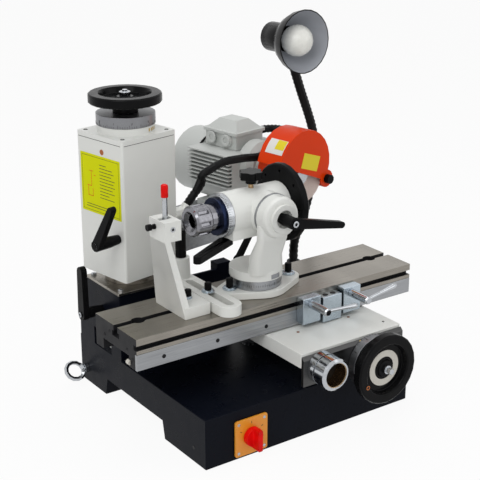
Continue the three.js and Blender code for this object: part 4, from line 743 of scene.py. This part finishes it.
class GRINDER_OT_stage(GrinderOperator, bpy.types.Operator):
    """Camera at the photograph's angle, soft lamps and a pale floor"""

    bl_idname = "grinder.stage"
    bl_label = "Stage"

    def build(self):
        stage = bpy.context.scene.grinder_stage
        self.camera(stage)
        self.lamps(stage)
        self.room(stage)
        self.floor(stage)
        bpy.context.scene.view_settings.view_transform = "Standard"

    def camera(self, stage):
        data = bpy.data.cameras.new("camera")
        data.lens = stage.lens
        data.sensor_width = 36
        data.clip_end = 100
        item = bpy.data.objects.new("camera", data)
        item.location = stage.camera
        item.rotation_euler = (math.pi / 2 - stage.elevation, 0, stage.azimuth)
        bpy.context.scene.collection.objects.link(item)
        bpy.context.scene.camera = item

    def lamps(self, stage):
        centre = (Vector(cad_box[0]) + Vector(cad_box[1])) / 2
        for name, power, width, place in (
                ("key_lamp", stage.key, 1.4, (-1.5, -1.0, 1.5)),
                ("fill_lamp", stage.fill, 1.6, (1.1, -1.8, 0.9)),
                ("top_lamp", stage.top, 1.6, (0.1, 0.3, 2.1))):
            data = bpy.data.lights.new(name, "AREA")
            data.energy = power
            data.size = width
            item = bpy.data.objects.new(name, data)
            item.location = centre + Vector(place)
            item.rotation_euler = (-Vector(place)).to_track_quat("-Z", "Y").to_euler()
            bpy.context.scene.collection.objects.link(item)

    def room(self, stage):
        world = bpy.data.worlds.new("room")
        world.use_nodes = True
        tree = world.node_tree
        strength = ranged(tree, seen_by_eye(tree), stage.ambient, 1, 0, 1)
        background = tree.nodes["Background"]
        background.inputs["Color"].default_value = (1, 1, 1, 1)
        tree.links.new(strength, background.inputs["Strength"])
        bpy.context.scene.world = world

    def floor(self, stage):
        made, tree, shader = start_finish("floor")
        pale = 0.86
        shader.inputs["Base Color"].default_value = (pale, pale, pale, 1)
        shader.inputs["Roughness"].default_value = 0.9
        glow = tree.nodes.new("ShaderNodeEmission")
        glow.inputs["Color"].default_value = (1, 1, 1, 1)
        blend = tree.nodes.new("ShaderNodeMixShader")
        output = next(node for node in tree.nodes if node.type == "OUTPUT_MATERIAL")
        tree.links.new(ranged(tree, seen_by_eye(tree), 0, stage.floor_white, 0, 1), blend.inputs[0])
        tree.links.new(shader.outputs[0], blend.inputs[1])
        tree.links.new(glow.outputs[0], blend.inputs[2])
        tree.links.new(blend.outputs[0], output.inputs["Surface"])
        half = stage.floor / 2
        mesh = bpy.data.meshes.new("floor")
        gap_below = mm(0.4)
        level = cad_box[0][2] - gap_below
        corners = [(-half, -half, level), (half, -half, level), (half, half, level), (-half, half, level)]
        mesh.from_pydata(corners, [], [(0, 1, 2, 3)])
        mesh.materials.append(made)
        item = bpy.data.objects.new("floor", mesh)
        bpy.context.scene.collection.objects.link(item)


class GRINDER_OT_base(GrinderOperator, bpy.types.Operator):
    """Base casting, pedestal, switch box and lifting eye"""

    bl_idname = "grinder.base"
    bl_label = "Base"

    def build(self):
        size = sizes()
        dress("base_casting", "black_paint", size.edge * 2)
        dress("pedestal_plate", "ground_steel", size.fine_edge)
        dress("control_box", "grey_paint", size.edge)
        dress("chip_guard", "black_paint", size.fine_edge)
        dress("lifting_eyebolt", "chrome")
        dress("cross_way", "slide_steel")
        self.switch()
        self.pedestal()
        self.side_hole()

    def side_hole(self):
        radius = mm(3)
        y = mm(-24.4)
        z = mm(23.5)
        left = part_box("base_casting")[0].x
        # A dark disc of painted shade stands for the hole in the base's left side
        dark_hole("base_side_hole", "base", Vector((left, y, z)), LEFT, radius, sides=HOLE_SIDES)

    def switch(self):
        """The switch plate with a screw in each corner, and three marks over the knob."""
        size = sizes()
        dress("switch_plate", "switch_plate", size.fine_edge)
        dress("switch_knob", "red_plastic", size.edge)
        low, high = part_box("switch_plate")
        inset = mm(6)
        screw = mm(2.4)
        corners = ((low.x + inset, low.z + inset), (high.x - inset, low.z + inset),
                   (high.x - inset, high.z - inset), (low.x + inset, high.z - inset))
        for number, (x, z) in enumerate(corners):
            slotted_screw(f"switch_screw_{number + 1}", "base", Vector((x, low.y, z)), FRONT, screw,
                          "bright_steel", 0.5 * number)
        pivot, _ = joint("switch_turn")
        middle = fitted(Vector((pivot.x, low.y, pivot.z)), RIGHT, UP)
        width = mm(0.8)
        tall = mm(4)
        from_middle = mm(22)
        marks = []
        for degrees in (-60, 0, 60):
            turn = Matrix.Rotation(math.radians(degrees), 4, "Z")
            bar = extruded(bar_outline(width, tall), mm(0.15))
            marks.append((bar, middle @ turn @ Matrix.Translation((0, from_middle, 0))))
        add_piece("switch_marks", joined(marks), "ink", "base")

    def pedestal(self):
        """A bolt in each corner of the column's foot plate, each head at its own turn."""
        low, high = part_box("pedestal_plate")
        inset = mm(9)
        across = mm(8)
        tall = mm(4)
        chamfer = mm(0.6)
        level = high.z - sizes().clearance
        number = 1
        for x in (low.x + inset, high.x - inset):
            for y in (low.y + inset, high.y - inset):
                head = hexagon(across, tall, chamfer)
                add_piece(f"pedestal_bolt_{number}", head, "bright_steel", "base",
                          placed(Vector((x, y, level)), UP, 0.4 * number))
                number += 1


class GRINDER_OT_slides(GrinderOperator, bpy.types.Operator):
    """Saddle with its apron, and the table with its slot and stops"""

    bl_idname = "grinder.slides"
    bl_label = "Slides"

    def build(self):
        self.saddle()
        self.table()
        self.stops()

    def saddle(self):
        size = sizes()
        dress("saddle_casting", "white_paint", size.edge)
        dress("apron_plate", "plate_steel", size.edge)
        dress("traverse_collar", "chrome")
        paint_node("traverse_pinion", "satin_steel")
        self.shelf_screws()
        self.collar()
        self.zero_marks()

    def shelf_screws(self):
        """Two copper pins and a screw on the ledge over the apron."""
        low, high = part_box("saddle_casting")
        over_apron = mm(4)
        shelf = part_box("apron_plate")[1].z + over_apron
        pin = mm(2.4)
        pin_y = mm(-8)
        for number, x in enumerate((mm(8), mm(108))):
            slotted_screw(f"saddle_pin_{number + 1}", "saddle", Vector((x, pin_y, shelf)), UP, pin)
        from_right = mm(16)
        from_front = mm(22)
        spot = Vector((high.x - from_right, low.y + from_front, shelf))
        socket_screw("saddle_screw", "saddle", spot, UP, mm(2))

    def zero_marks(self):
        """Three brass marks on the bevel along the apron's top."""
        low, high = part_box("apron_plate")
        width = mm(3)
        corner = mm(0.8)
        behind_front = mm(3.1)
        under_top = mm(2.1)
        for number, x in enumerate((mm(73), mm(77.5), mm(82))):
            mark = extruded(rounded_outline(width, width, corner), sizes().sheet)
            point = Vector((x, low.y + behind_front, high.z - under_top))
            add_piece(f"zero_mark_{number + 1}", mark, "brass", "saddle", fitted(point, RIGHT, UP + BACK))

    def collar(self):
        """A bronze bush in the collar, a dark disc of painted shade at its far end, and the collar's grub
        screw.
        """
        pivot, _ = joint("traverse_turn")
        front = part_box("traverse_collar")[0].y
        bush_bore = mm(18.6)
        bush_radius = mm(19.4)
        bush_length = mm(24)
        bush_rear = front + mm(25.4)
        end_radius = mm(18.8)
        end_rear = front + mm(25.6)
        add_piece("collar_bush", ring(bush_bore, bush_radius, bush_length), "bronze", "traverse",
                  placed(Vector((pivot.x, bush_rear, pivot.z)), FRONT))
        # A dark disc of painted shade at the bush's far end, for the depth of its bore
        dark_hole("collar_end", "traverse", Vector((pivot.x, end_rear, pivot.z)), FRONT, end_radius,
                  "dark_iron", depth=0.4)
        screw_side = mm(19.3)
        screw_back = mm(9)
        screw_drop = mm(15.8)
        screw = Vector((pivot.x - screw_side, front + screw_back, pivot.z - screw_drop))
        outward = Vector((-0.775, 0, -0.632))
        socket_screw("collar_screw", "traverse", screw, outward, mm(3.2))

    def table(self):
        size = sizes()
        slab = dress("table_slab", "ground_steel", size.fine_edge)
        self.darken_hidden_faces(slab)
        dress("table_front_plate", "slide_steel", size.fine_edge)
        paint_node("table_rack", "satin_steel")
        low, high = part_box("table_front_plate")
        middle = (low.z + high.z) / 2
        radius = mm(3.2)
        # Dark discs of painted shade stand for the mouths of the plate's screw holes
        for number, x in enumerate((mm(-220), mm(-127), mm(-38))):
            dark_hole(f"plate_screw_{number + 1}", "table", Vector((x, low.y, middle)), FRONT, radius,
                      "dark_iron", sides=HOLE_SIDES)
        self.table_end()

    def table_end(self):
        """Four screws and a small roller on the table's left end."""
        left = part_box("table_slab")[0].x
        screw = mm(2.6)
        for number, (y, z) in enumerate(((40, 176), (104, 176), (24, 166), (90, 186))):
            spot = Vector((left, mm(y), mm(z)))
            socket_screw(f"table_end_screw_{number + 1}", "table", spot, LEFT, screw)
        radius = mm(3.8)
        length_along = mm(7.5)
        face = radius - mm(0.4)
        chamfer = mm(0.5)
        roller = turned([
            (0, 0), (face, 0), (radius, chamfer), (radius, length_along - chamfer), (face, length_along),
            (0, length_along)], sides=SMALL_SIDES)
        beyond_end = mm(0.2)
        y = mm(30)
        z = mm(158)
        add_piece("table_end_roller", roller, "ivory", "table",
                  placed(Vector((left - beyond_end, y, z)), BACK))

    def darken_hidden_faces(self, slab):
        """Only the table's top and front are ground bright; its ends are dark iron, and its back,
        underside, slot and channels get the same dark as painted shade.
        """
        slab.data.materials.append(finish("dark_iron"))
        low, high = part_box("table_slab")
        for face in slab.data.polygons:
            on_top = face.normal.z > 0.9 and face.center.z > high.z - mm(1)
            in_front = face.normal.y < -0.9 and face.center.y < low.y + mm(1)
            # Ends are dark iron; back, underside, slot and channels get the same dark as painted shade
            if not (on_top or in_front):
                face.material_index = 1

    def stops(self):
        size = sizes()
        for name in ("stop_block_left", "stop_block_right", "stop_block_middle"):
            dress(name, "zinc", size.edge)
        for name in ("stop_lever_left", "stop_lever_right"):
            dress(name, "chrome", size.fine_edge)
        low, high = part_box("stop_block_middle")
        inset = mm(11)
        radius = mm(4.6)
        before_middle = mm(2)
        y = (low.y + high.y) / 2 - before_middle
        # Dark discs of painted shade stand for the mouths of the block's screw holes
        for number, x in enumerate((low.x + inset, high.x - inset)):
            dark_hole(f"middle_block_screw_{number + 1}", "table", Vector((x, y, high.z)), UP, radius,
                      "dark_iron", sides=SMALL_SIDES)


class GRINDER_OT_wheels(GrinderOperator, bpy.types.Operator):
    """Handwheels, their dials and screws"""

    bl_idname = "grinder.wheels"
    bl_label = "Handwheels"

    def build(self):
        size = sizes()
        for name in ("front_handwheel", "top_handwheel"):
            dress(name, "gloss_black", size.edge)
        for name in ("front_dial", "top_dial"):
            dress(name, "dial_steel", size.fine_edge)
        dress("cross_screw", "chrome", size.fine_edge)
        dress("lift_screw", "chrome", size.fine_edge)
        self.ivory_ring()
        self.dial_marks("front_dial", "cross_wheel_turn", "cross_wheel", FRONT, 50, mm(3))
        self.dial_marks("top_dial", "lift_wheel_turn", "lift_wheel", UP, 80, mm(3.6))

    def ivory_ring(self):
        """The ivory ring on the front handwheel's web, and the bush that its crank handle would take."""
        pivot, _ = joint("cross_wheel_turn")
        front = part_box("front_handwheel")[0].y
        web = front + mm(10)
        proud = mm(0.8)
        inner = mm(18.2)
        outer = mm(28.6)
        add_piece("wheel_ivory_ring", ring(inner, outer, proud), "ivory", "cross_wheel",
                  placed(Vector((pivot.x, web, pivot.z)), FRONT))
        handle_side = mm(39.1)
        handle_drop = mm(18.6)
        spot = Vector((pivot.x - handle_side, front, pivot.z - handle_drop))
        bush_bore = mm(2)
        bush_radius = mm(3.4)
        add_piece("wheel_handle_bush", ring(bush_bore, bush_radius, proud), "copper", "cross_wheel",
                  placed(spot, FRONT))
        # A dark disc of painted shade stands for the bush's bore
        dark_hole("wheel_handle_hole", "cross_wheel", spot, FRONT, mm(2.2))

    def dial_marks(self, node, joint_name, body, axis, count, along):
        """Marks and figures round a dial, from its rear edge or its foot towards its face."""
        start, _ = joint(joint_name)
        low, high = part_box(node)
        if axis == UP:
            start.z = low.z
        else:
            start.y = high.y - mm(0.2)
        radius = (high.x - low.x) / 2
        figure = mm(2.6)
        figures_up = along * 2.1
        marks_around(f"{node}_marks", body, start, axis, radius, count, along)
        labels = [str(number) for number in range(10)]
        figures_around(f"{node}_figures", body, start, axis, radius, labels, figure, figures_up)


class GRINDER_OT_work_head(GrinderOperator, bpy.types.Operator):
    """Work head with its spindle, index plate and clamp levers"""

    bl_idname = "grinder.work_head"
    bl_label = "Work head"

    def build(self):
        size = sizes()
        dress("head_flange", "white_paint", size.edge)
        dress("swivel_ring", "satin_steel", size.fine_edge)
        dress("turret_column", "white_paint", size.edge)
        dress("spindle_housing", "white_paint", size.edge)
        dress("work_spindle", "blued_steel", size.fine_edge)
        dress("spindle_dial", "bright_steel", size.fine_edge)
        dress("collet_nut", "dark_chrome", size.fine_edge)
        dress("index_plate", "black_plastic", size.fine_edge)
        dress("index_knob", "gloss_black", size.edge)
        for name in ("tilt_lever", "spindle_lock_lever", "turret_lever"):
            dress(name, "black_plastic", size.edge)
        self.bolts()
        self.rings()
        self.lever_caps()

    def bolts(self):
        low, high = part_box("head_flange")
        pivot, _ = joint("work_spin")
        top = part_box("swivel_ring")[0].z
        washer = mm(11)
        height = mm(14)
        left_inset = mm(19.5)
        right_inset = mm(16)
        for number, x in enumerate((low.x + left_inset, high.x - right_inset)):
            clamp_bolt(f"flange_bolt_{number + 1}", "table", Vector((x, pivot.y, top)), washer, height)

    def rings(self):
        """Marks of the swivel ring and the spindle's dial, the tilt ring, the index stud and its plate."""
        pivot, _ = joint("turret_swivel")
        low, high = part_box("swivel_ring")
        scale_up = mm(6)
        radius = (high.x - low.x) / 2
        foot = Vector((pivot.x, pivot.y, low.z + scale_up))
        marks_around("swivel_marks", "table", foot, UP, radius, 72, mm(3))
        low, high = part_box("spindle_dial")
        spin, _ = joint("work_spin")
        from_edge = mm(0.5)
        edge = Vector((low.x + from_edge, spin.y, spin.z))
        radius = (high.z - low.z) / 2
        marks_around("spindle_marks", "work_spindle_group", edge, RIGHT, radius, 60, mm(3.4))
        tilt, _ = joint("work_tilt")
        rear = mm(30.5)
        inner = mm(30)
        outer = mm(33)
        width = mm(3.2)
        add_piece("tilt_ring", ring(inner, outer, width), "satin_steel", "turret",
                  placed(Vector((tilt.x, rear, tilt.z)), FRONT))
        self.index_stud()
        self.index_tag(tilt, pivot)

    def index_stud(self):
        """The bronze stud between the index knob and the housing."""
        radius = mm(4)
        height = mm(9)
        stud = turned([(0, 0), (radius, 0), (radius, height), (0, height)], sides=SMALL_SIDES)
        low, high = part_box("index_knob")
        middle = (low + high) / 2
        sunk = mm(3)
        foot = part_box("spindle_housing")[1].z - sunk
        spot = Vector((middle.x, middle.y, foot))
        add_piece("index_stud", stud, "bronze", "work_head", placed(spot, UP))

    def index_tag(self, tilt, pivot):
        """A small plate bent round the turret's foot, in narrow strips."""
        low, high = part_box("turret_column")
        radius = (high.x - low.x) / 2
        width = mm(4.5)
        tall = mm(7)
        middle_up = mm(5.5)
        centre = Vector((tilt.x, pivot.y, low.z + middle_up))
        for number, degrees in enumerate((-88, -82, -76, -70)):
            angle = math.radians(degrees)
            outward = Vector((math.cos(angle), math.sin(angle), 0))
            sideways = Vector((-math.sin(angle), math.cos(angle), 0))
            strip = extruded(bar_outline(width, tall), mm(0.4))
            place = fitted(centre + outward * radius, sideways, UP)
            add_piece(f"index_tag_{number + 1}", strip, "satin_steel", "turret", place)

    def lever_caps(self):
        """The bright screw that holds the tilt lever on its shaft."""
        pivot, _ = joint("tilt_clamp_turn")
        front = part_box("tilt_lever")[0].y
        socket_screw("tilt_lever_screw", "tilt_clamp", Vector((pivot.x, front, pivot.z)), FRONT, mm(5),
                     "bright_steel", 0.6)


class GRINDER_OT_supports(GrinderOperator, bpy.types.Operator):
    """Centre support and tooth rest on the table"""

    bl_idname = "grinder.supports"
    bl_label = "Supports"

    def build(self):
        size = sizes()
        dress("tail_body", "white_paint")
        dress("tail_centre", "chrome", size.fine_edge)
        dress("tail_screw", "black_plastic", size.fine_edge)
        dress("rest_arm", "white_paint", size.edge)
        dress("rest_post", "black_plastic", size.edge)
        self.rod()
        self.side_hole()
        self.bolts()

    def rod(self):
        """A red cap over the end of the centre's rod, where the rod's own crown shows its place."""
        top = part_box("tail_centre")[1].z
        corners = [corner.co for corner in frame["nodes"]["tail_centre"].data.vertices]
        crown_depth = mm(1)
        crown = [corner for corner in corners if corner.z > top - crown_depth]
        middle = sum(crown, Vector()) / len(crown)
        radius = mm(5.4)
        foot = mm(-19)
        shoulder = mm(-3)
        cap = turned([(0, foot), (radius, foot), (radius, shoulder), (mm(4.8), mm(-1)),
                      (mm(2.8), mm(0.2)), (0, mm(0.4))], sides=32)
        add_piece("rod_cap", cap, "red_plastic", "centre", placed(Vector((middle.x, middle.y, top)), UP))

    def side_hole(self):
        """A bright bush in the front of the support's block, with a dark disc of painted shade for its
        bore.
        """
        low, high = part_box("tail_body")
        face_y = mm(50)
        from_left = mm(14)
        from_top = mm(11.5)
        spot = Vector((low.x + from_left, face_y, high.z - from_top))
        bore = mm(2.2)
        radius = mm(3.8)
        proud = mm(0.6)
        add_piece("support_bush", ring(bore, radius, proud), "chrome", "centre_support",
                  placed(spot, FRONT))
        dark_hole("support_bush_bore", "centre_support", spot, FRONT, mm(2.6), depth=0.2)

    def bolts(self):
        """The clamp bolts that stand on the tooth rest's foot and on the support's."""
        pivot, _ = joint("work_spin")
        post, _ = joint("rest_pin_turn")
        table_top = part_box("table_slab")[1].z
        rest_foot = mm(16.3)
        rest = Vector((post.x, pivot.y, table_top + rest_foot))
        clamp_bolt("rest_bolt", "tooth_rest", rest, washer=mm(10), height=mm(11))
        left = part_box("tail_body")[0].x
        from_left = mm(47)
        before_spindle = mm(6)
        support_foot = mm(17.3)
        support = Vector((left + from_left, pivot.y - before_spindle, table_top + support_foot))
        clamp_bolt("support_bolt", "centre_support", support, washer=mm(6.5), height=mm(10))


class GRINDER_OT_grinding_head(GrinderOperator, bpy.types.Operator):
    """Pillar, head housing, motor, wheel and guard"""

    bl_idname = "grinder.grinding_head"
    bl_label = "Grinding head"

    # Places on the swivelled head in mm: along the arm, back along the wheel's spindle, and up
    half = 54
    skin = 0.05
    plate_back = -1
    plate_up = 359
    motor_along = 262
    motor_up = 318
    guard_up = 353
    outlet_side = 36.2
    outlet_up = 376
    outlets = (10, 44)

    def build(self):
        size = sizes()
        dress("pillar", "ground_steel", size.fine_edge)
        dress("head_housing", "white_paint", size.fine_edge)
        dress("motor_arm", "slide_steel", size.edge)
        dress("motor_body", "grey_paint", size.fine_edge)
        dress("fan_cowl", "grey_paint", size.edge)
        dress("terminal_box", "grey_paint", size.edge)
        dress("conduit", "rubber")
        dress("wheel_spindle", "bright_steel", size.fine_edge)
        dress("grinding_wheel", "abrasive", size.fine_edge)
        dress("wheel_guard", "orange_paint", size.edge)
        dress("guard_knob", "black_plastic", size.fine_edge)
        dress("housing_lever", "black_plastic", size.edge)
        dress("pillar_lever", "black_plastic", size.edge)
        self.housing()
        self.motor()
        self.motor_shadows()
        self.lever_screws()
        self.guard_labels()

    def head_axes(self):
        """Directions of the swivelled head: along the arm, and back along the wheel's spindle."""
        _, back = joint("wheel_spin")
        along = Vector((back.y, -back.x, 0))
        return along, back

    def head_point(self, x, y, z):
        along, back = self.head_axes()
        column, _ = joint("head_swivel")
        return Vector((column.x, column.y, 0)) + along * mm(x) + back * mm(y) + UP * mm(z)

    def housing(self):
        """The housing's seam, screws, oil plug, printed plate and brass marks."""
        collar_height = 11
        seam_drop = 8
        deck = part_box("head_housing")[1].z / MM - collar_height
        self.seam(deck - seam_drop)
        inset = 10
        number = 1
        for x in (inset - self.half, self.half - inset):
            for y in (inset - self.half, self.half - inset):
                point = self.head_point(x, y, deck)
                socket_screw(f"housing_screw_{number}", "head", point, UP, sizes().screw)
                number += 1
        along, back = self.head_axes()
        plug = self.head_point(-self.half, -6, 413)
        slotted_screw("oil_plug", "head", plug, -along, mm(4.4), "copper", 0.9)
        self.plate(back)
        self.brass_marks(deck, along, back)

    def seam(self, level):
        """A fine dark line round the housing, on each of its four sides."""
        along, back = self.head_axes()
        reach = self.half + self.skin
        corner = 4
        wide = mm(2 * (self.half - corner))
        tall = mm(0.7)
        lines = []
        for side, x, y in ((along, 0, -reach), (-along, 0, reach), (-back, -reach, 0), (back, reach, 0)):
            line = extruded(bar_outline(wide, tall), mm(0.12))
            lines.append((line, fitted(self.head_point(x, y, level), side, UP)))
        add_piece("housing_seam", joined(lines), "ink", "head")

    def plate(self, back):
        """The yellow plate on the housing's left side, with a border near its edge."""
        width = 94
        plate = extruded(rounded_outline(mm(width), mm(width), mm(1)), sizes().sheet)
        seat = self.head_point(self.skin - self.half, self.plate_back, self.plate_up)
        add_piece("housing_plate", plate, "yellow_plate", "head", fitted(seat, -back, UP))
        edge = 43.5
        rail = 88
        line = 0.5
        face = -self.half - 0.45
        rails = []
        for x, y, wide, tall in ((0, edge, rail, line), (0, -edge, rail, line),
                                 (edge, 0, line, rail), (-edge, 0, line, rail)):
            point = self.head_point(face, self.plate_back - x, self.plate_up + y)
            bar = extruded(bar_outline(mm(wide), mm(tall)), mm(0.1))
            rails.append((bar, fitted(point, -back, UP)))
        add_piece("housing_plate_border", joined(rails), "ink", "head")
        self.plate_print(self.head_point(face, self.plate_back, self.plate_up), -back)

    def brass_marks(self, deck, along, back):
        """Four brass marks on the round collar over the housing's deck."""
        radius = mm(44.8)
        middle_up = 5.5
        width = mm(2.4)
        tall = mm(5)
        centre = self.head_point(0, 0, deck + middle_up)
        for number, degrees in enumerate((-78, -71, -64, -57)):
            angle = math.radians(degrees)
            outward = along * math.cos(angle) + back * math.sin(angle)
            sideways = back * math.cos(angle) - along * math.sin(angle)
            tag = extruded(bar_outline(width, tall), mm(0.4))
            place = fitted(centre + outward * radius, sideways, UP)
            add_piece(f"brass_mark_{number + 1}", tag, "brass", "head", place)

    def motor(self):
        """Each outlet of the terminal box has a gland's ring with a plug in it."""
        along, _ = self.head_axes()
        bore = mm(4.6)
        dish = mm(6.6)
        crest = mm(9.6)
        rim = mm(10.2)
        bore_height = mm(2.4)
        rim_height = mm(2.6)
        height = mm(3.2)
        plug_radius = mm(4.8)
        plug_edge = mm(1.2)
        plug_height = mm(1.6)
        for number, y in enumerate(self.outlets):
            point = self.head_point(self.motor_along - self.outlet_side, y, self.outlet_up)
            boss = turned([(bore, 0), (bore, bore_height), (dish, height), (crest, height),
                           (rim, rim_height), (rim, 0)], closed=True)
            add_piece(f"gland_ring_{number + 1}", boss, "grey_paint", "head", placed(point, -along))
            plug = turned([(0, 0), (plug_radius, 0), (plug_radius, plug_edge),
                           (plug_radius / 2, plug_height), (0, plug_height)], sides=SMALL_SIDES)
            add_piece(f"gland_plug_{number + 1}", plug, "grey_paint", "head", placed(point, -along))

    def motor_shadows(self):
        """Painted shade: a grey sheet on the motor's frame, seen only between the fins, and a grey ring
        round each gland; a black seal shows before the fan cowl.
        """
        along, back = self.head_axes()
        frame_radius = 60
        panel_back = 22
        panel_up = self.motor_up + 7
        panel_length = mm(98)
        panel_height = mm(38)
        # Grey sheets of painted shade, seen only between the fins
        for title, side in (("motor_gap_left", -1), ("motor_gap_right", 1)):
            panel = extruded(bar_outline(panel_length, panel_height), mm(0.2))
            point = self.head_point(self.motor_along + side * frame_radius, panel_back, panel_up)
            add_piece(title, panel, "gap_grey", "head", fitted(point, back * side, UP))
        seal_bore = mm(54)
        seal_radius = mm(57.6)
        seal_width = mm(1.6)
        seal_back = 72.1
        add_piece("cowl_seal", ring(seal_bore, seal_radius, seal_width), "ink", "head",
                  placed(self.head_point(self.motor_along, seal_back, self.motor_up), -back))
        # A grey ring of painted shade round each gland
        gland = mm(10.3)
        gap = mm(11)
        for number, y in enumerate(self.outlets):
            rim = ring(gland, gap, mm(0.4))
            point = self.head_point(self.motor_along - self.outlet_side, y, self.outlet_up)
            add_piece(f"gland_rim_{number + 1}", rim, "gap_grey", "head", placed(point, -along))

    def plate_print(self, middle, side):
        """A plain outline and rows of bars, printed on the housing's plate: right, up, width, height."""
        line = 0.8
        outline = ((-22, 20, 9, line), (-22, 8, line, 24), (-27, -4, 11, line), (-30, -12, line, 15),
                   (-19, -14, line, 12), (-25, -20, 12, line), (-14, 14, 5, line))
        thick = 0.9
        pitch = 5.2
        rows = [(-2 + wide / 2, 33 - pitch * row, wide, thick)
                for row, wide in enumerate((16, 30, 34, 28, 36, 33, 36, 30, 35, 22, 34))]
        rows += [(0, -34, 70, thick), (-6, -38, 60, thick)]
        for name, finish_name, bars in (
                ("plate_outline", "red_plastic", outline), ("plate_rows", "ink", rows)):
            parts = []
            for x, y, wide, tall in bars:
                point = middle + side * mm(x) + UP * mm(y)
                bar = extruded(bar_outline(mm(wide), mm(tall)), mm(0.1))
                parts.append((bar, fitted(point, side, UP)))
            add_piece(name, joined(parts), finish_name, "head")

    def lever_screws(self):
        """Bright screws in the hub ends of the clamp levers that show."""
        along, _ = self.head_axes()
        radius = mm(4.4)
        hub = mm(46)
        pivot, _ = joint("housing_clamp_turn")
        socket_screw("housing_lever_screw", "housing_clamp", pivot - along * hub, -along, radius,
                     "bright_steel", 0.6)
        pivot, _ = joint("pillar_clamp_turn")
        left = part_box("pillar_lever")[0].x
        socket_screw("pillar_lever_screw", "pillar_clamp", Vector((left, pivot.y, pivot.z)), LEFT, radius,
                     "bright_steel", 0.6)

    def guard_labels(self):
        """A bare label on the guard's slanting face, and two over each other on its band."""
        along, _ = self.head_axes()
        lean = math.radians(19)
        width = mm(41)
        tall = mm(25.6)
        corner = mm(0.8)
        middle = self.head_point(274.4, -138.1, 357.3)
        label = extruded(rounded_outline(width, tall, corner), mm(0.35))
        side = along * math.cos(lean) - UP * math.sin(lean)
        up = UP * math.cos(lean) + along * math.sin(lean)
        add_piece("guard_face_label", label, "guard_label", "guard", fitted(middle, side, up))
        self.band_label("guard_band_label", "label", (128, 153), (-134, -97), 60.15)
        self.band_label("guard_band_patch", "guard_label", (128.5, 145), (-133, -114), 60.3)

    def band_label(self, name, finish_name, degrees, reach_back, radius):
        """A bare label bent round the guard's band, between two angles and two depths."""
        steps = 8
        thickness = 0.5
        inner = radius - thickness
        start, end = degrees
        front, rear = reach_back
        shape = bmesh.new()
        rows = []
        for step in range(steps + 1):
            angle = math.radians(start + (end - start) * step / steps)
            row = []
            for reach, y in ((radius, front), (radius, rear), (inner, rear), (inner, front)):
                x = self.motor_along + reach * math.cos(angle)
                z = self.guard_up + reach * math.sin(angle)
                row.append(shape.verts.new(self.head_point(x, y, z)))
            rows.append(row)
        join_rings(shape, rows)
        shape.faces.new(rows[0])
        shape.faces.new(rows[-1])
        add_piece(name, shape, finish_name, "guard")


class GRINDER_OT_lamp(GrinderOperator, bpy.types.Operator):
    """Gooseneck lamp"""

    bl_idname = "grinder.lamp"
    bl_label = "Lamp"

    def build(self):
        size = sizes()
        dress("lamp_bracket", "black_paint", size.fine_edge)
        dress("lamp_gooseneck", "rubber")
        shade = dress("lamp_shade", "shade_paint")
        dress("lamp_bulb", "bulb")
        self.paint_inside(shade)

    def paint_inside(self, shade):
        """The shade's inner skin is a pale grey, its white darkened as painted shade: its faces look at
        the lamp's own axis.
        """
        shade.data.materials.append(finish("inner_shaded_paint"))
        _, side = joint("lamp_tilt")
        bulb_low, bulb_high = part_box("lamp_bulb")
        middle = (bulb_low + bulb_high) / 2
        axis = Vector((side.y, -side.x, 0))
        socket_end = mm(-32)
        throat = mm(14)
        inward_limit = -0.3
        for face in shade.data.polygons:
            centre = face.center - middle
            outward = centre - axis * centre.dot(axis)
            inward = outward.normalized().dot(face.normal) < inward_limit
            if inward and centre.dot(axis) > socket_end and outward.length > throat:
                face.material_index = 1


class GRINDER_PT_panel(bpy.types.Panel):
    """Sizes, colours and building steps"""

    bl_idname = "GRINDER_PT_panel"
    bl_label = "End mill grinder"
    bl_space_type = "VIEW_3D"
    bl_region_type = "UI"
    bl_category = "Grinder"

    def draw(self, context):
        scene = context.scene
        for group in (scene.grinder_sizes, scene.grinder_colours, scene.grinder_stage):
            box = self.layout.box()
            for name in group.__annotations__:
                box.prop(group, name)
        for step in STEPS:
            self.layout.operator(step.bl_idname)


STEPS = (
    GRINDER_OT_stage, GRINDER_OT_base, GRINDER_OT_slides, GRINDER_OT_wheels, GRINDER_OT_work_head,
    GRINDER_OT_supports, GRINDER_OT_grinding_head, GRINDER_OT_lamp,
)
GROUPS = (GrinderColours, GrinderSizes, GrinderStage)
CLASSES = GROUPS + STEPS + (GRINDER_PT_panel,)


def register():
    for item in CLASSES:
        bpy.utils.register_class(item)
    bpy.types.Scene.grinder_colours = PointerProperty(type=GrinderColours)
    bpy.types.Scene.grinder_sizes = PointerProperty(type=GrinderSizes)
    bpy.types.Scene.grinder_stage = PointerProperty(type=GrinderStage)


def unregister():
    del bpy.types.Scene.grinder_colours
    del bpy.types.Scene.grinder_sizes
    del bpy.types.Scene.grinder_stage
    for item in reversed(CLASSES):
        bpy.utils.unregister_class(item)


def main():
    register()
    for step in STEPS:
        group, name = step.bl_idname.split(".")
        getattr(getattr(bpy.ops, group), name)()


if __name__ == "__main__":
    main()
